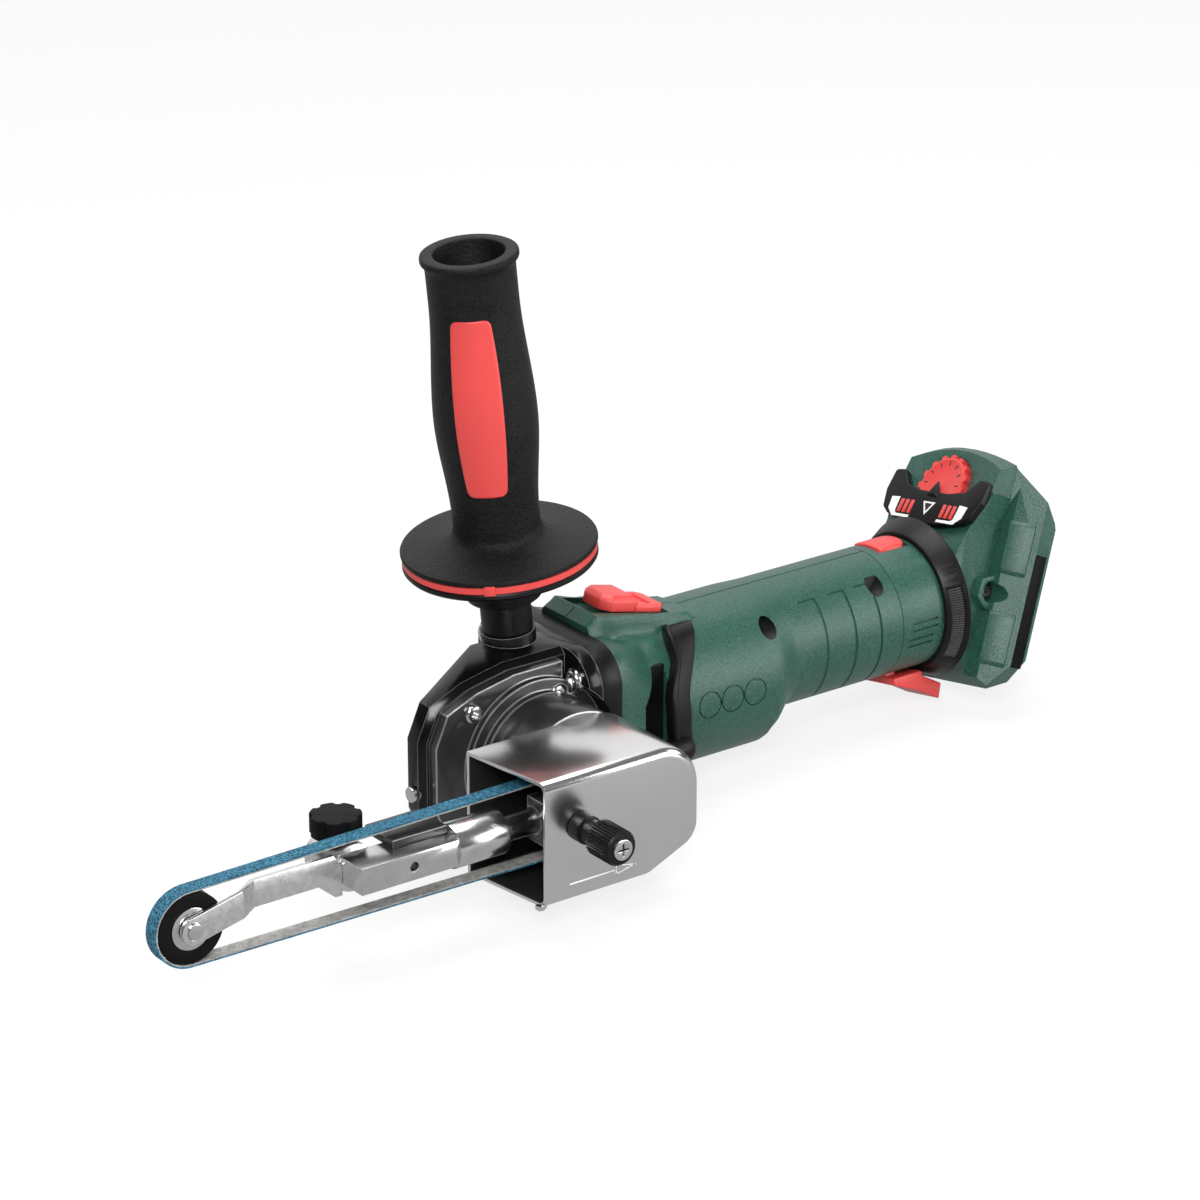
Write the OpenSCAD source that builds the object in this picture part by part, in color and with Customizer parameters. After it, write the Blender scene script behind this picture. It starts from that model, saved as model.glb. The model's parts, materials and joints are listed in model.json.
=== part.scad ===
// Cordless belt file: motor housing with battery foot, gear head, swivelling belt head and side handle.
// Lengths are in millimetres. The spindle lies along Y and the motor along X, and their axes cross.
// X runs to the rear, the belt is on the negative Y side, and Z is up.

/* [Belt] */
// Loop length of the abrasive belt
belt_loop = 457; // [440:1:480]
// Width of the abrasive belt
belt_w = 6; // [5:0.5:7]
// Thickness of the abrasive belt
belt_t = 1.2; // [0.8:0.1:1.6]
// Radius of the contact roller
roller_r = 13.2; // [12:0.2:14]
// Radius of the drive pulley
pulley_r = 15.1; // [14.6:0.1:16]
// Distance from the motor axis to the middle of the belt
belt_out = 72.5; // [70:0.5:78]

/* [Gear head] */
// From the spindle axis back to the motor flange
head_back = 24.5; // [23:0.5:28]
// From the spindle axis forward to the nose
head_front = 47; // [44:1:54]
// Height of the gear head and of the motor flange
flange_h = 74; // [72:1:80]
// Width of the motor flange
flange_w = 73; // [70:1:80]
// Thickness of the motor flange
flange_t = 9; // [8:0.5:12]
// From the motor axis to the gear cover seat
head_near = 20; // [19:0.5:24]
// From the motor axis to the far side of the gear head
head_far = 28; // [26:1:34]
// Thickness of the gear cover plate
cover_t = 5; // [4:0.5:7]
// Radius of the neck that carries the belt head
neck_r = 22.5; // [21:0.5:24]

/* [Motor housing] */
// Radius of the motor barrel
motor_r = 32; // [31:0.5:34]
// Length of the motor barrel behind the flange
motor_len = 79.5; // [76:0.5:90]
// Length of the step down to the grip
step_len = 15; // [10:1:25]
// Radius of the grip
grip_r = 26.5; // [25:0.5:28]
// Length of the grip
grip_len = 52; // [46:1:70]
// Wall of the housing shells
shell_wall = 3; // [2:0.25:3.5]
// Height of the switch hump above the motor axis, at the flange
hump_top = 44; // [42:0.5:46]
// Length of the switch hump
hump_len = 50; // [46:1:56]

/* [Battery foot] */
// Length of the neck sleeve ahead of the dust filter
sleeve_len = 21; // [20:0.5:26]
// Width of the dust filter ring
filter_w = 9; // [8:0.5:12]
// Outer radius of the dust filter ring
filter_r = 33; // [31:0.5:36]
// Depth of the battery foot
foot_depth = 41.5; // [40:0.5:46]
// Width of the battery foot
foot_w = 80; // [76:1:88]
// Top of the battery foot above the motor axis
foot_high = 59.5; // [58:0.5:64]
// Underside of the battery foot below the motor axis
foot_low = 30; // [28:0.5:31]
// Turn of the foot about the grip axis, as it is left standing
foot_turn = 11; // [0:1:12]

/* [Belt head] */
// Width of the belt guard
guard_w = 41.5; // [40:0.5:46]
// Height of the belt guard
guard_h = 49; // [46:0.5:56]
// Guard mouth ahead of the spindle
guard_front = 50; // [48:1:56]
// Guard back behind the spindle
guard_rear = 25.5; // [25:0.5:30]
// Sheet thickness of the guard
guard_t = 1.5; // [1:0.1:2]
// From the middle of the belt to the near face of the guard
guard_near = 22.5; // [21:0.5:26]
// Diameter of the knurled tracking knob
knob_d = 13.5; // [12:0.5:16]
// Length of the knurled tracking knob
knob_len = 14; // [10:1:16]

/* [Belt arm] */
// Sheet thickness of the bent arm
arm_t = 2; // [1.5:0.1:2.5]
// Height of the bent arm
arm_h = 10.4; // [9:0.2:11]
// Share of the reach from roller pin to tension tube that the bent arm takes
arm_share = 0.60832; // [0.57:0.00001:0.65]
// Height of the arm bar
bar_h = 10.3; // [9:0.1:11]
// Width of the arm bar
bar_w = 14.5; // [13:0.5:16]
// From the mouth of the guard forward to the tension tube
tube_lead = 25.36; // [23:0.01:28]
// Outer radius of the tension tube
tube_r = 8.6; // [8:0.2:10]
// Length of the tension tube
tube_len = 22; // [20:1:26]
// How far the arm springs back to free the belt
arm_travel = 6; // [4:0.5:6.5]
// Radius of the clamp knob
clamp_knob_r = 9.5; // [8:0.25:9.75]

/* [Side handle] */
// Forward lean of the side handle
handle_lean = 6; // [0:1:10]
// From the spindle axis back to the handle hole
handle_back = 6.8; // [4:0.2:8]
// Height of the hand flange above the gear head
flange_rise = 31.5; // [28:0.5:36]
// Radius of the hand flange
hand_flange_r = 37.2; // [34:0.5:42]
// Length of the grip above the hand flange
handle_len = 115.6; // [105:1:130]
// Largest radius of the grip
bulge_r = 19.4; // [19:0.2:22]
// Radius of the hollow in the grip
hollow_r = 13.1; // [12:0.1:13.5]

/* [Controls] */
// Travel of the slide switch
switch_travel = 6; // [4:0.5:7]
// Width of the slide switch
switch_w = 18; // [14:1:20]
// Radius of the speed dial
dial_r = 13.5; // [12:0.5:14]
// Thickness of the speed dial
dial_t = 5; // [4.5:0.25:6]
// Width of the indicator panel
panel_w = 60; // [56:1:62]

/* [Fits] */
// Gap between pieces that are fixed to each other
seat = 0.05; // [0.02:0.01:0.1]
// Gap between pieces that move past each other
run = 0.35; // [0.3:0.05:0.5]
// Gap between a shaft and its bore, on the radius
shaft_fit = 0.05; // [0.02:0.01:0.1]

/* [Hidden] */
$fn = 64;
// Overrun of cuts past the face they open
over = 1;
// Sides of the round ends inside hulls
hull_sides = 48;

// Belt drive
belt_in_r = roller_r + run;
belt_out_r = belt_in_r + belt_t;
pulley_extra = pulley_r - roller_r;
belt_centres = (belt_loop - PI * (2 * belt_in_r + belt_t + pulley_extra)) / 2;
belt_spread = asin(pulley_extra / belt_centres);
pin_x = -belt_centres;
pulley_lip = 1;
pulley_w = belt_w + 2 * pulley_lip;
belt_far_y = -belt_out + belt_w / 2;
belt_near_y = -belt_out - belt_w / 2;

// Places along the motor axis
shell_x = head_back + flange_t;
motor_end = shell_x + motor_len;
grip_x = motor_end + step_len;
seam_x = grip_x + grip_len;
filter_x = seam_x + sleeve_len;
foot_x = filter_x + filter_w;
foot_rear = foot_x + foot_depth;
grip_rise = motor_r - grip_r;
hump_angle = atan((hump_top - motor_r) / hump_len);

// Places across the belt head, as distances from the motor axis
ring_step = 3;
ring_big_out = 8.4;
ring_small_out = 3.9;
ring_big_r = neck_r + ring_big_out;
ring_small_r = neck_r + ring_small_out;
neck_foot = head_near + cover_t + 2 * ring_step;
guard_near_out = belt_out + guard_near;
guard_far_out = guard_near_out - guard_w;
neck_tip_gap = 5.5;
neck_end = guard_far_out - neck_tip_gap;

// Outlines of the battery foot seen from the front, as shares of its half width and of its height
rail_front_shares = [[0.8, 0], [1, 0.1], [1, 0.8], [0.95, 0.88], [0.83, 0.93], [0.63, 1]];
console_front_shares = [[0.5, 0], [0.62, 0.1], [0.62, 0.7], [0.76, 0.85], [0.78, 0.93], [0.63, 1]];
foot_h = foot_high + foot_low;
function foot_yz(s) = [s[0] * foot_w / 2, -foot_low + s[1] * foot_h];
function both_flanks(shares) = concat(
    [for (s = shares) foot_yz(s)],
    [for (i = [len(shares) - 1:-1:0]) foot_yz([-shares[i][0], shares[i][1]])]
);
function turned_y(p) = p[0] * cos(foot_turn) + (p[1] - grip_rise) * sin(foot_turn);

// Tracking knob on the guard, ahead of and above the spindle
knob_x = -29.7;
knob_z = 5;
knob_seat_r = 5.5;
knob_seat_len = 6;
knob_neck_r = 4.6;
knob_neck_len = 6;
knob_stem_r = 2.5;
knob_tip = guard_near_out + knob_seat_len + knob_neck_len + knob_len;
screw_dome = 0.8;

// The frame puts the middle of the underside at the origin
x_min = pin_x - belt_out_r;
x_max = foot_rear;
y_min = -knob_tip - screw_dome;
y_max = max([for (p = both_flanks(rail_front_shares)) turned_y(p)]);
frame_shift = [-(x_min + x_max) / 2, -(y_min + y_max) / 2, flange_h / 2];

module in_frame() translate(frame_shift) children();
// Everything on the battery foot stands turned about the grip axis
module in_foot() {
    in_frame() translate([0, 0, grip_rise])
        rotate([-foot_turn, 0, 0])
            translate([0, 0, -grip_rise]) children();
}
module along_x(x) translate([x, 0, 0]) rotate([0, 90, 0]) children();
module out_y(y) translate([0, -y, 0]) rotate([90, 0, 0]) children();
module side_slab(y_out, t) out_y(y_out) linear_extrude(t) children();
module front_slab(x, t) translate([x, 0, 0]) rotate([90, 0, 90]) linear_extrude(t) children();

module tube(r_out, r_in, h) {
    difference() {
        cylinder(r = r_out, h = h);
        translate([0, 0, -over]) cylinder(r = r_in, h = h + 2 * over);
    }
}

module rounded_rect(w, h, r) {
    square([w - 2 * r, h], center = true);
    square([w, h - 2 * r], center = true);
    for (sx = [-1, 1], sy = [-1, 1])
        translate([sx * (w / 2 - r), sy * (h / 2 - r)]) circle(r = r);
}

// One half of a body that is split on the middle plane: side -1 is the near half
module half(side, x_from, x_to) {
    reach = foot_w;
    intersection() {
        children();
        translate([x_from - over, side < 0 ? -reach : 0, -2 * reach])
            cube([x_to - x_from + 2 * over, reach, 4 * reach]);
    }
}

// Motor shells
flange_corner = 15;
strap_back = 26;
strap_x = shell_x + strap_back;
strap_w = 9.5;
strap_t = 4.4;
hump_w = 30;
hump_rear_w = 22;
hump_drop = 5;
lip_t = 2;
groove_w = 1.2;
groove_depth = 0.8;
groove_shares = [0.26, 0.54, 0.79];
groove_top_share = 0.55;
boss_r = 4.8;
recess_r = 3.7;
screw_r = 1.65;
screw_head_r = 3.3;
screw_head_t = 2.4;
screw_reach = 11;
screw_seat_out = 11;
foot_seat_out = 24;
boss_in = 4.5;
upper_boss_share = 0.7;
lower_boss_share = -0.6;
grip_boss_share = 0.74;
grip_boss_back = 8.5;
boss_places = [
    [motor_end + boss_in / 4, motor_r * upper_boss_share],
    [motor_end + boss_in, motor_r * lower_boss_share],
    [seam_x - grip_boss_back, grip_rise + grip_r * grip_boss_share]
];
bearing_r = 11;
bearing_w = 7;
shaft_r = 4;
rear_bearing_x = motor_end - bearing_w - 3 * boss_in / 2;
bulkhead_t = 3;
vent_back = 13;
vent_x = shell_x + vent_back;
vent_h = 26;
vent_low = 8;

module barrel(inset) {
    along_x(shell_x) cylinder(r = motor_r - inset, h = motor_len);
    hull() {
        front_slab(shell_x, lip_t)
            rounded_rect(flange_w - 2 * (lip_t + inset), flange_h - 2 * (lip_t + inset), flange_corner,
                $fn = hull_sides);
        along_x(strap_x - lip_t) cylinder(r = motor_r - inset, h = lip_t, $fn = hull_sides);
    }
    hull() {
        along_x(motor_end - lip_t) cylinder(r = motor_r - inset, h = lip_t, $fn = hull_sides);
        translate([0, 0, grip_rise])
            along_x(grip_x) cylinder(r = grip_r - inset, h = lip_t, $fn = hull_sides);
    }
    translate([0, 0, grip_rise]) along_x(grip_x) cylinder(r = grip_r - inset, h = grip_len);
}

module hump() {
    hull() {
        translate([shell_x, -hump_w / 2, 0]) cube([lip_t, hump_w, hump_top - hump_drop]);
        translate([shell_x + hump_drop, -hump_w / 2, 0])
            cube([lip_t, hump_w, hump_top - (hump_drop + lip_t) * tan(hump_angle)]);
        translate([shell_x + hump_len - lip_t, -hump_rear_w / 2, 0]) cube([lip_t, hump_rear_w, motor_r]);
    }
}

// Local axes on the sloping top of the hump: X runs back along the slope, Z stands off it
module on_hump() translate([shell_x, 0, hump_top]) rotate([0, hump_angle, 0]) children();

switch_front = 12;
switch_len = 30;
plate_t = 2.2;
slot_w = 8;
slot_drop = 14;
dip = 2.5;
dip_side = 2;
dip_lead = 9.6;
dip_len = 12;
dip_w = switch_w - 2 * dip_side;

module switch_slot() {
    on_hump() {
        translate([switch_front - switch_travel, -slot_w / 2, -slot_drop])
            cube([switch_len - switch_travel, slot_w, slot_drop + over]);
        translate([switch_front - dip_lead, -dip_w / 2, -dip]) cube([dip_len, dip_w, dip + over]);
    }
}

module grip_grooves() {
    for (s = groove_shares)
        translate([0, 0, grip_rise]) along_x(grip_x + s * grip_len)
            difference() {
                tube(grip_r + over, grip_r - groove_depth, groove_w);
                translate([-(2 + groove_top_share) * grip_r, -grip_r, -over])
                    cube([2 * grip_r, 2 * grip_r, groove_w + 2 * over]);
            }
}

module vents() {
    translate([vent_x, -2 * motor_r, -vent_low]) cube([strap_x - vent_x - 2 * lip_t, 4 * motor_r, vent_h]);
}

module bulkhead() {
    along_x(rear_bearing_x - bulkhead_t) {
        tube(motor_r - shell_wall / 2, shaft_r + 3 * run, bulkhead_t);
        tube(bearing_r + bulkhead_t, bearing_r + seat, bearing_w + bulkhead_t);
    }
}

module motor_shell(side) {
    half(side, shell_x, seam_x)
        difference() {
            union() {
                difference() {
                    union() {
                        barrel(0);
                        hump();
                    }
                    barrel_hollow();
                    vents();
                }
                bulkhead();
                boss_columns(side, boss_places) barrel(0);
            }
            switch_slot();
            grip_grooves();
            boss_holes(side, boss_places, screw_seat_out);
            flange_screw_holes();
        }
}

module barrel_hollow() {
    barrel(shell_wall);
    along_x(shell_x - over) cylinder(r = motor_r - shell_wall, h = 2 * over);
    translate([0, 0, grip_rise])
        along_x(seam_x - over) cylinder(r = grip_r - shell_wall, h = 2 * over);
}

// Columns along Y that take the shell screws, trimmed to the outside of the shell
module boss_columns(side, places) {
    intersection() {
        union()
            for (p = places)
                translate([p[0], 0, p[1]])
                    out_y(side < 0 ? 0 : -screw_reach - boss_r)
                        cylinder(r = boss_r, h = side < 0 ? foot_w : screw_reach + boss_r);
        children();
    }
}

module boss_holes(side, places, seat_out) {
    for (p = places)
        translate([p[0], 0, p[1]])
            if (side < 0) {
                out_y(seat_out) cylinder(r = recess_r, h = foot_w);
                out_y(-over) cylinder(r = screw_r + run, h = seat_out + 2 * over);
            } else {
                out_y(-screw_reach - over) cylinder(r = screw_r + seat, h = screw_reach + 2 * over);
            }
}

module motor_shell_left() color("darkslategray") in_frame() motor_shell(-1);
module motor_shell_right() color("darkslategray") in_frame() motor_shell(1);

// Battery foot shells
foot_side_shares = [
    [0, 0.08], [0.1, 0], [0.37, 0], [1, 0.648], [1, 0.68], [0.928, 0.8], [0.84, 0.93], [0.82, 1], [0.723, 1],
    [0, 0.6]
];
rail_body_t = 15;
function foot_xz(s) = [foot_x + s[0] * foot_depth, -foot_low + s[1] * foot_h];
rail_low = foot_xz(foot_side_shares[2]);
rail_high = foot_xz(foot_side_shares[3]);
rail_tilt = atan((rail_high[0] - rail_low[0]) / (rail_high[1] - rail_low[1]));
face_low = foot_xz(foot_side_shares[9]);
face_high = foot_xz(foot_side_shares[8]);
face_angle = atan((face_high[1] - face_low[1]) / (face_high[0] - face_low[0]));
face_len = norm(face_high - face_low);
slot_deep = 10;
rail_slot_w = 56;
rail_slot_h = 50;
rail_lip = 4;
rail_groove = 3;
strip_w = 6;
strip_h = 46;
strip_t = 1.6;
strip_sink = 0.3;
strip_low = 6;
strip_in = 1.2;
foot_boss_back_share = 0.36;
foot_boss_z = 7;
foot_boss_places = [[foot_x + foot_boss_back_share * foot_depth, foot_boss_z]];
cavity_deep = 6;
spigot_len = 3;

// Local axes on the rear face of the foot: Z runs up the face, X stands off it
module on_rails() translate([rail_low[0], 0, rail_low[1]]) rotate([0, rail_tilt, 0]) children();
// Local axes on the sloping upper front of the foot: X runs up the slope, Z stands off it
module on_face() translate([face_low[0], 0, face_low[1]]) rotate([0, -face_angle, 0]) children();

module foot_profile() {
    side_slab(-foot_w / 2 - over, foot_w + 2 * over) polygon([for (s = foot_side_shares) foot_xz(s)]);
}

// Narrow console in front, wide rail body behind, round sleeve ahead
module foot_body() {
    intersection() {
        foot_profile();
        front_slab(foot_x - over, foot_depth + 2 * over) polygon(both_flanks(console_front_shares));
    }
    intersection() {
        foot_profile();
        front_slab(foot_x - over, foot_depth + 2 * over) polygon(both_flanks(rail_front_shares));
        on_rails() translate([-rail_body_t, -foot_w, -foot_h]) cube([foot_depth, 2 * foot_w, 3 * foot_h]);
    }
    translate([0, 0, grip_rise]) {
        along_x(seam_x + run) cylinder(r = grip_r, h = sleeve_len + filter_w + over - run);
        along_x(seam_x - spigot_len) cylinder(r = grip_r - shell_wall - shaft_fit, h = spigot_len + over);
    }
}

module battery_slot() {
    on_rails() {
        translate([-slot_deep, -rail_slot_w / 2, -over])
            cube([slot_deep + 2 * over, rail_slot_w, rail_slot_h + over]);
        translate([-slot_deep, -rail_slot_w / 2 - rail_groove, -over])
            cube([slot_deep - rail_lip, rail_slot_w + 2 * rail_groove, rail_slot_h + over]);
    }
}

module strip_blocks(grow) {
    proud = grow > 0 ? over : -strip_sink;
    on_rails()
        for (side = [-1, 1])
            mirror([0, side < 0 ? 0 : 1, 0])
                translate([-strip_in - strip_w - grow, -foot_w / 2 - proud, strip_low - grow])
                    cube([strip_w + 2 * grow, strip_t + proud + grow, strip_h + 2 * grow]);
}

dial_up = 30;
dial_sink = 4;
dial_shaft_r = 3;
dial_shaft_len = 7;

module dial_pocket() {
    on_face() translate([dial_up, 0, 0]) {
        translate([0, 0, -dial_sink - run]) cylinder(r = dial_r + run, h = dial_sink + run + over);
        translate([0, 0, -dial_sink - dial_shaft_len - run])
            cylinder(r = dial_shaft_r + shaft_fit, h = dial_shaft_len + run + over);
    }
}

button_len = 15;
button_w = 19;
button_t = 4;
button_proud = 0.8;
button_travel = 2;
button_x = filter_x - button_len - 3 * run;
lever_len = 24;
lever_w = 20;
lever_pin_r = 1.5;
lever_pin_back = 8;
lever_pin_up = 3.5;
lever_pin_bite = 4;
lever_bed = 12;
lever_tip = 2;
lever_mid_drop = 8.7;
lever_root = 4;
lever_end_drop = 14.5;
lever_end_t = 6;
knuckle_r = 2.6;
knuckle_w = 9;
lever_z = grip_rise - grip_r;
lever_pin_x = seam_x + lever_pin_back;
lever_x = lever_pin_x - knuckle_r;
lever_pin_z = lever_z + lever_pin_up;
lever_gap = 3 * run;

module button_window(grow, deep) {
    translate([button_x - grow, -button_w / 2 - grow, grip_rise + grip_r - deep])
        cube([button_len + 2 * grow, button_w + 2 * grow, deep + grip_r]);
}

module at_lever_pin() translate([lever_pin_x, 0, lever_pin_z]) children();

module lever_pocket() {
    reach = knuckle_r + lever_gap;
    translate([lever_pin_x - reach, -knuckle_w / 2 - run, lever_z - over])
        cube([2 * reach, knuckle_w + 2 * run, lever_pin_up + knuckle_r + run + over]);
    at_lever_pin()
        out_y(-knuckle_w / 2 - lever_pin_bite)
            cylinder(r = lever_pin_r + seat, h = knuckle_w + 2 * lever_pin_bite);
}

module sleeve_hollow() {
    translate([0, 0, grip_rise])
        along_x(seam_x - spigot_len - over)
            cylinder(r = grip_r - 2 * shell_wall, h = foot_x - seam_x + spigot_len + cavity_deep + over);
}

module foot_shell(side) {
    half(side, seam_x - spigot_len, foot_rear)
        difference() {
            union() {
                difference() {
                    foot_body();
                    sleeve_hollow();
                }
                boss_columns(side, foot_boss_places) foot_body();
                lever_blocks();
            }
            boss_holes(side, foot_boss_places, foot_seat_out);
            battery_slot();
            strip_blocks(seat);
            dial_pocket();
            button_window(run, button_t + button_travel + run);
            lever_pocket();
        }
}

// Solid bed inside the sleeve for the lever and its pin
module lever_blocks() {
    intersection() {
        translate([0, 0, grip_rise]) along_x(seam_x + run) cylinder(r = grip_r, h = sleeve_len + filter_w);
        translate([lever_pin_x - lever_bed / 2, -lever_w, lever_z]) cube([lever_bed, 2 * lever_w, lever_bed]);
    }
}

module foot_shell_left() color("darkslategray") in_foot() foot_shell(-1);
module foot_shell_right() color("darkslategray") in_foot() foot_shell(1);

module shell_screws() {
    color("dimgray") in_frame() screws_at(boss_places, screw_seat_out);
}

module foot_screw() {
    color("dimgray") in_foot() screws_at(foot_boss_places, foot_seat_out);
}

module screws_at(places, seat_out) {
    for (p = places)
        translate([p[0], 0, p[1]]) {
            out_y(seat_out + seat) cylinder(r = screw_head_r, h = screw_head_t);
            out_y(-screw_reach) cylinder(r = screw_r, h = screw_reach + seat_out + over);
        }
}

// Air deflectors: a leaning strap over the flank of the barrel and a roll along its lower edge
roll_r = 5;
roll_len = 25;
roll_turn = 18;
strap_mid_back = 24.5;
strap_mid_x = shell_x + strap_mid_back;
strap_top = 34;
strap_top_back = 17;
strap_low = -18;
strap_low_back = 6;
strap_bend_high = 9;
strap_bend_low = -2;
strap_in_y = hump_w / 2 + run;

module air_deflector(side) {
    mirror([0, side < 0 ? 0 : 1, 0])
        difference() {
            union() {
                intersection() {
                    along_x(shell_x) cylinder(r = motor_r + strap_t, h = motor_len);
                    side_slab(strap_in_y, 2 * motor_r) strap_outline();
                }
                rotate([roll_turn, 0, 0])
                    translate([0, -motor_r - strap_t, 0])
                        along_x(strap_mid_x + strap_w - roll_len) cylinder(r = roll_r, h = roll_len);
            }
            barrel(-seat);
        }
}

module strap_outline() {
    polygon([
        [strap_mid_x, strap_bend_high], [strap_mid_x + strap_top_back, strap_top],
        [strap_mid_x + strap_top_back + strap_w, strap_top],
        [strap_mid_x + strap_w, strap_bend_high], [strap_mid_x + strap_w, strap_bend_low],
        [strap_mid_x + strap_low_back + strap_w, strap_low],
        [strap_mid_x + strap_low_back, strap_low], [strap_mid_x, strap_bend_low]
    ]);
}

module air_deflector_left() color("black") in_frame() air_deflector(-1);
module air_deflector_right() color("black") in_frame() air_deflector(1);

// Motor flange
head_screw_edge_y = 8.5;
head_screw_edge_z = 10;
head_screw_y = flange_w / 2 - head_screw_edge_y;
head_screw_z = flange_h / 2 - head_screw_edge_z;
head_screw_r = 2.4;
head_screw_head_r = 4.6;
head_screw_head_t = 3.6;
head_screw_bite = 3.5;
lug_t = 6;

module flange_screw_holes() {
    for (sy = [-1, 1], sz = [-1, 1])
        translate([0, sy * head_screw_y, sz * head_screw_z])
            along_x(head_back - lug_t - over)
                cylinder(r = head_screw_r + seat, h = lug_t + flange_t + head_screw_bite + 2 * over);
}

// Room beside the motor flange for the rings of the cover and the collar
module ring_room() out_y(head_near) cylinder(r = ring_big_r + run, h = flange_w);

module motor_flange() {
    color("dimgray") in_frame()
        difference() {
            front_slab(head_back, flange_t) rounded_rect(flange_w, flange_h, flange_corner);
            along_x(head_back - over) cylinder(r = shaft_r + 3 * run, h = flange_t + 2 * over);
            along_x(shell_x - bearing_w) cylinder(r = bearing_r + seat, h = bearing_w + over);
            flange_screw_holes();
            ring_room();
        }
}

// Gear housing
head_top = flange_h / 2;
head_side_shares = [[1, 1], [-0.18, 1], [-0.58, 0.9], [-0.88, 0.73], [-1, 0.38]];
gear_room_r = 21;
pinion_room_r = 9.5;
inner_bearing_r = 8;
inner_bearing_w = 8;
inner_seat_y = 8;
m8_r = 4;
m8_deep = 15;
spare_deep = 9.5;
handle_boss_r = 10.5;
handle_boss_rise = 3;
handle_boss_h = 1.6;
plug_r = 2.5;
plug_head_r = 3;
plug_len = 8;
nose_deep = 9;
crown_deep = 3;
far_back = 2;
head_x_share = 0.18;
far_share = 0.46;
function head_x(s) = s > 0 ? s * head_back : s * head_front;
function head_outline(shares) = concat(
    [for (s = shares) [head_x(s[0]), s[1] * head_top]],
    [for (i = [len(shares) - 1:-1:0]) [head_x(shares[i][0]), -shares[i][1] * head_top]]
);

// Local axes of a handle hole: the upper hole is side 1, the lower one is side -1
module on_handle_hole(side) {
    mirror([0, 0, side > 0 ? 0 : 1])
        translate([handle_back, 0, head_top + (side > 0 ? handle_boss_rise : -2 * handle_boss_h)])
            rotate([0, -handle_lean, 0]) children();
}

module handle_bore(deep) {
    translate([0, 0, -deep]) cylinder(r = m8_r + shaft_fit, h = deep + handle_boss_h + over);
}

module on_plug() {
    translate([-head_front, -head_near + nose_deep / 2, -head_top * head_side_shares[4][1] / 2])
        rotate([0, -90, 0]) children();
}

// Loft from the near rim over the crown to the narrower far face
module head_block() {
    edge = cover_t / 2;
    rim = head_near - nose_deep;
    crown_front = -head_x_share * head_front;
    hull() {
        side_slab(rim, nose_deep - edge) polygon(head_outline(head_side_shares));
        side_slab(rim, nose_deep) offset(delta = -edge) polygon(head_outline(head_side_shares));
        translate([crown_front, -rim - over, -head_top])
            cube([head_back - crown_front, rim + over + crown_deep, flange_h]);
        translate([far_back, 0, -far_share * head_top])
            cube([head_back - far_back, head_far, 2 * far_share * head_top]);
    }
}

module gear_housing() {
    color("black") in_frame()
        difference() {
            union() {
                head_block();
                front_slab(head_back - lug_t, lug_t) rounded_rect(flange_w, flange_h, flange_corner);
                on_handle_hole(1)
                    translate([0, 0, -handle_boss_r])
                        cylinder(r = handle_boss_r, h = handle_boss_r + handle_boss_h);
            }
            out_y(-inner_seat_y) cylinder(r = gear_room_r, h = inner_seat_y + head_near + over);
            out_y(-inner_seat_y - inner_bearing_w)
                cylinder(r = inner_bearing_r + seat, h = inner_bearing_w + over);
            along_x(0) cylinder(r = pinion_room_r, h = head_back + over);
            ring_room();
            flange_screw_holes();
            cover_screw_holes(head_near - cover_screw_bite);
            on_handle_hole(1) handle_bore(m8_deep);
            on_handle_hole(-1) handle_bore(spare_deep);
            on_handle_hole(-1)
                translate([0, 0, handle_boss_h]) cylinder(r = handle_boss_r, h = handle_boss_r);
            on_plug() translate([0, 0, -plug_len]) cylinder(r = plug_r + seat, h = plug_len + over);
        }
}

module grease_plug() {
    color("silver") in_frame() on_plug() {
        translate([0, 0, -plug_len + over]) cylinder(r = plug_r, h = plug_len);
        translate([0, 0, seat]) cylinder(r = plug_head_r, h = screw_head_t);
    }
}

module head_screws() {
    color("silver") in_frame()
        for (sy = [-1, 1], sz = [-1, 1])
            translate([0, sy * head_screw_y, sz * head_screw_z]) {
                along_x(head_back - lug_t - seat - head_screw_head_t)
                    cylinder(r = head_screw_head_r, h = head_screw_head_t);
                along_x(head_back - lug_t - over)
                    cylinder(r = head_screw_r, h = lug_t + flange_t + head_screw_bite);
            }
}

// Gear cover with its stepped rings and the neck
cover_inset_share = 0.93;
cover_rear = head_back - lug_t - head_screw_head_t - 3 * run;
cover_lug_r = 4.2;
cover_screw_r = 2;
cover_screw_head_r = 3.6;
cover_screw_head_t = 3;
cover_screw_bite = 9;
cover_screw_front = 28;
cover_screw_rear = 10.2;
cover_screw_front_z = 24;
cover_screw_rear_z = 22.8;
cover_screw_places = [
    [-cover_screw_front, cover_screw_front_z], [cover_screw_rear, cover_screw_rear_z],
    [-cover_screw_front, -cover_screw_front_z], [cover_screw_rear, -cover_screw_rear_z]
];
spindle_r = 6;
outer_bearing_r = 14;
outer_bearing_w = 9;

module cover_screw_holes(y_out) {
    for (p = cover_screw_places)
        translate([p[0], 0, p[1]])
            out_y(y_out) cylinder(r = cover_screw_r + seat, h = cover_screw_bite + cover_t + over);
}

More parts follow.
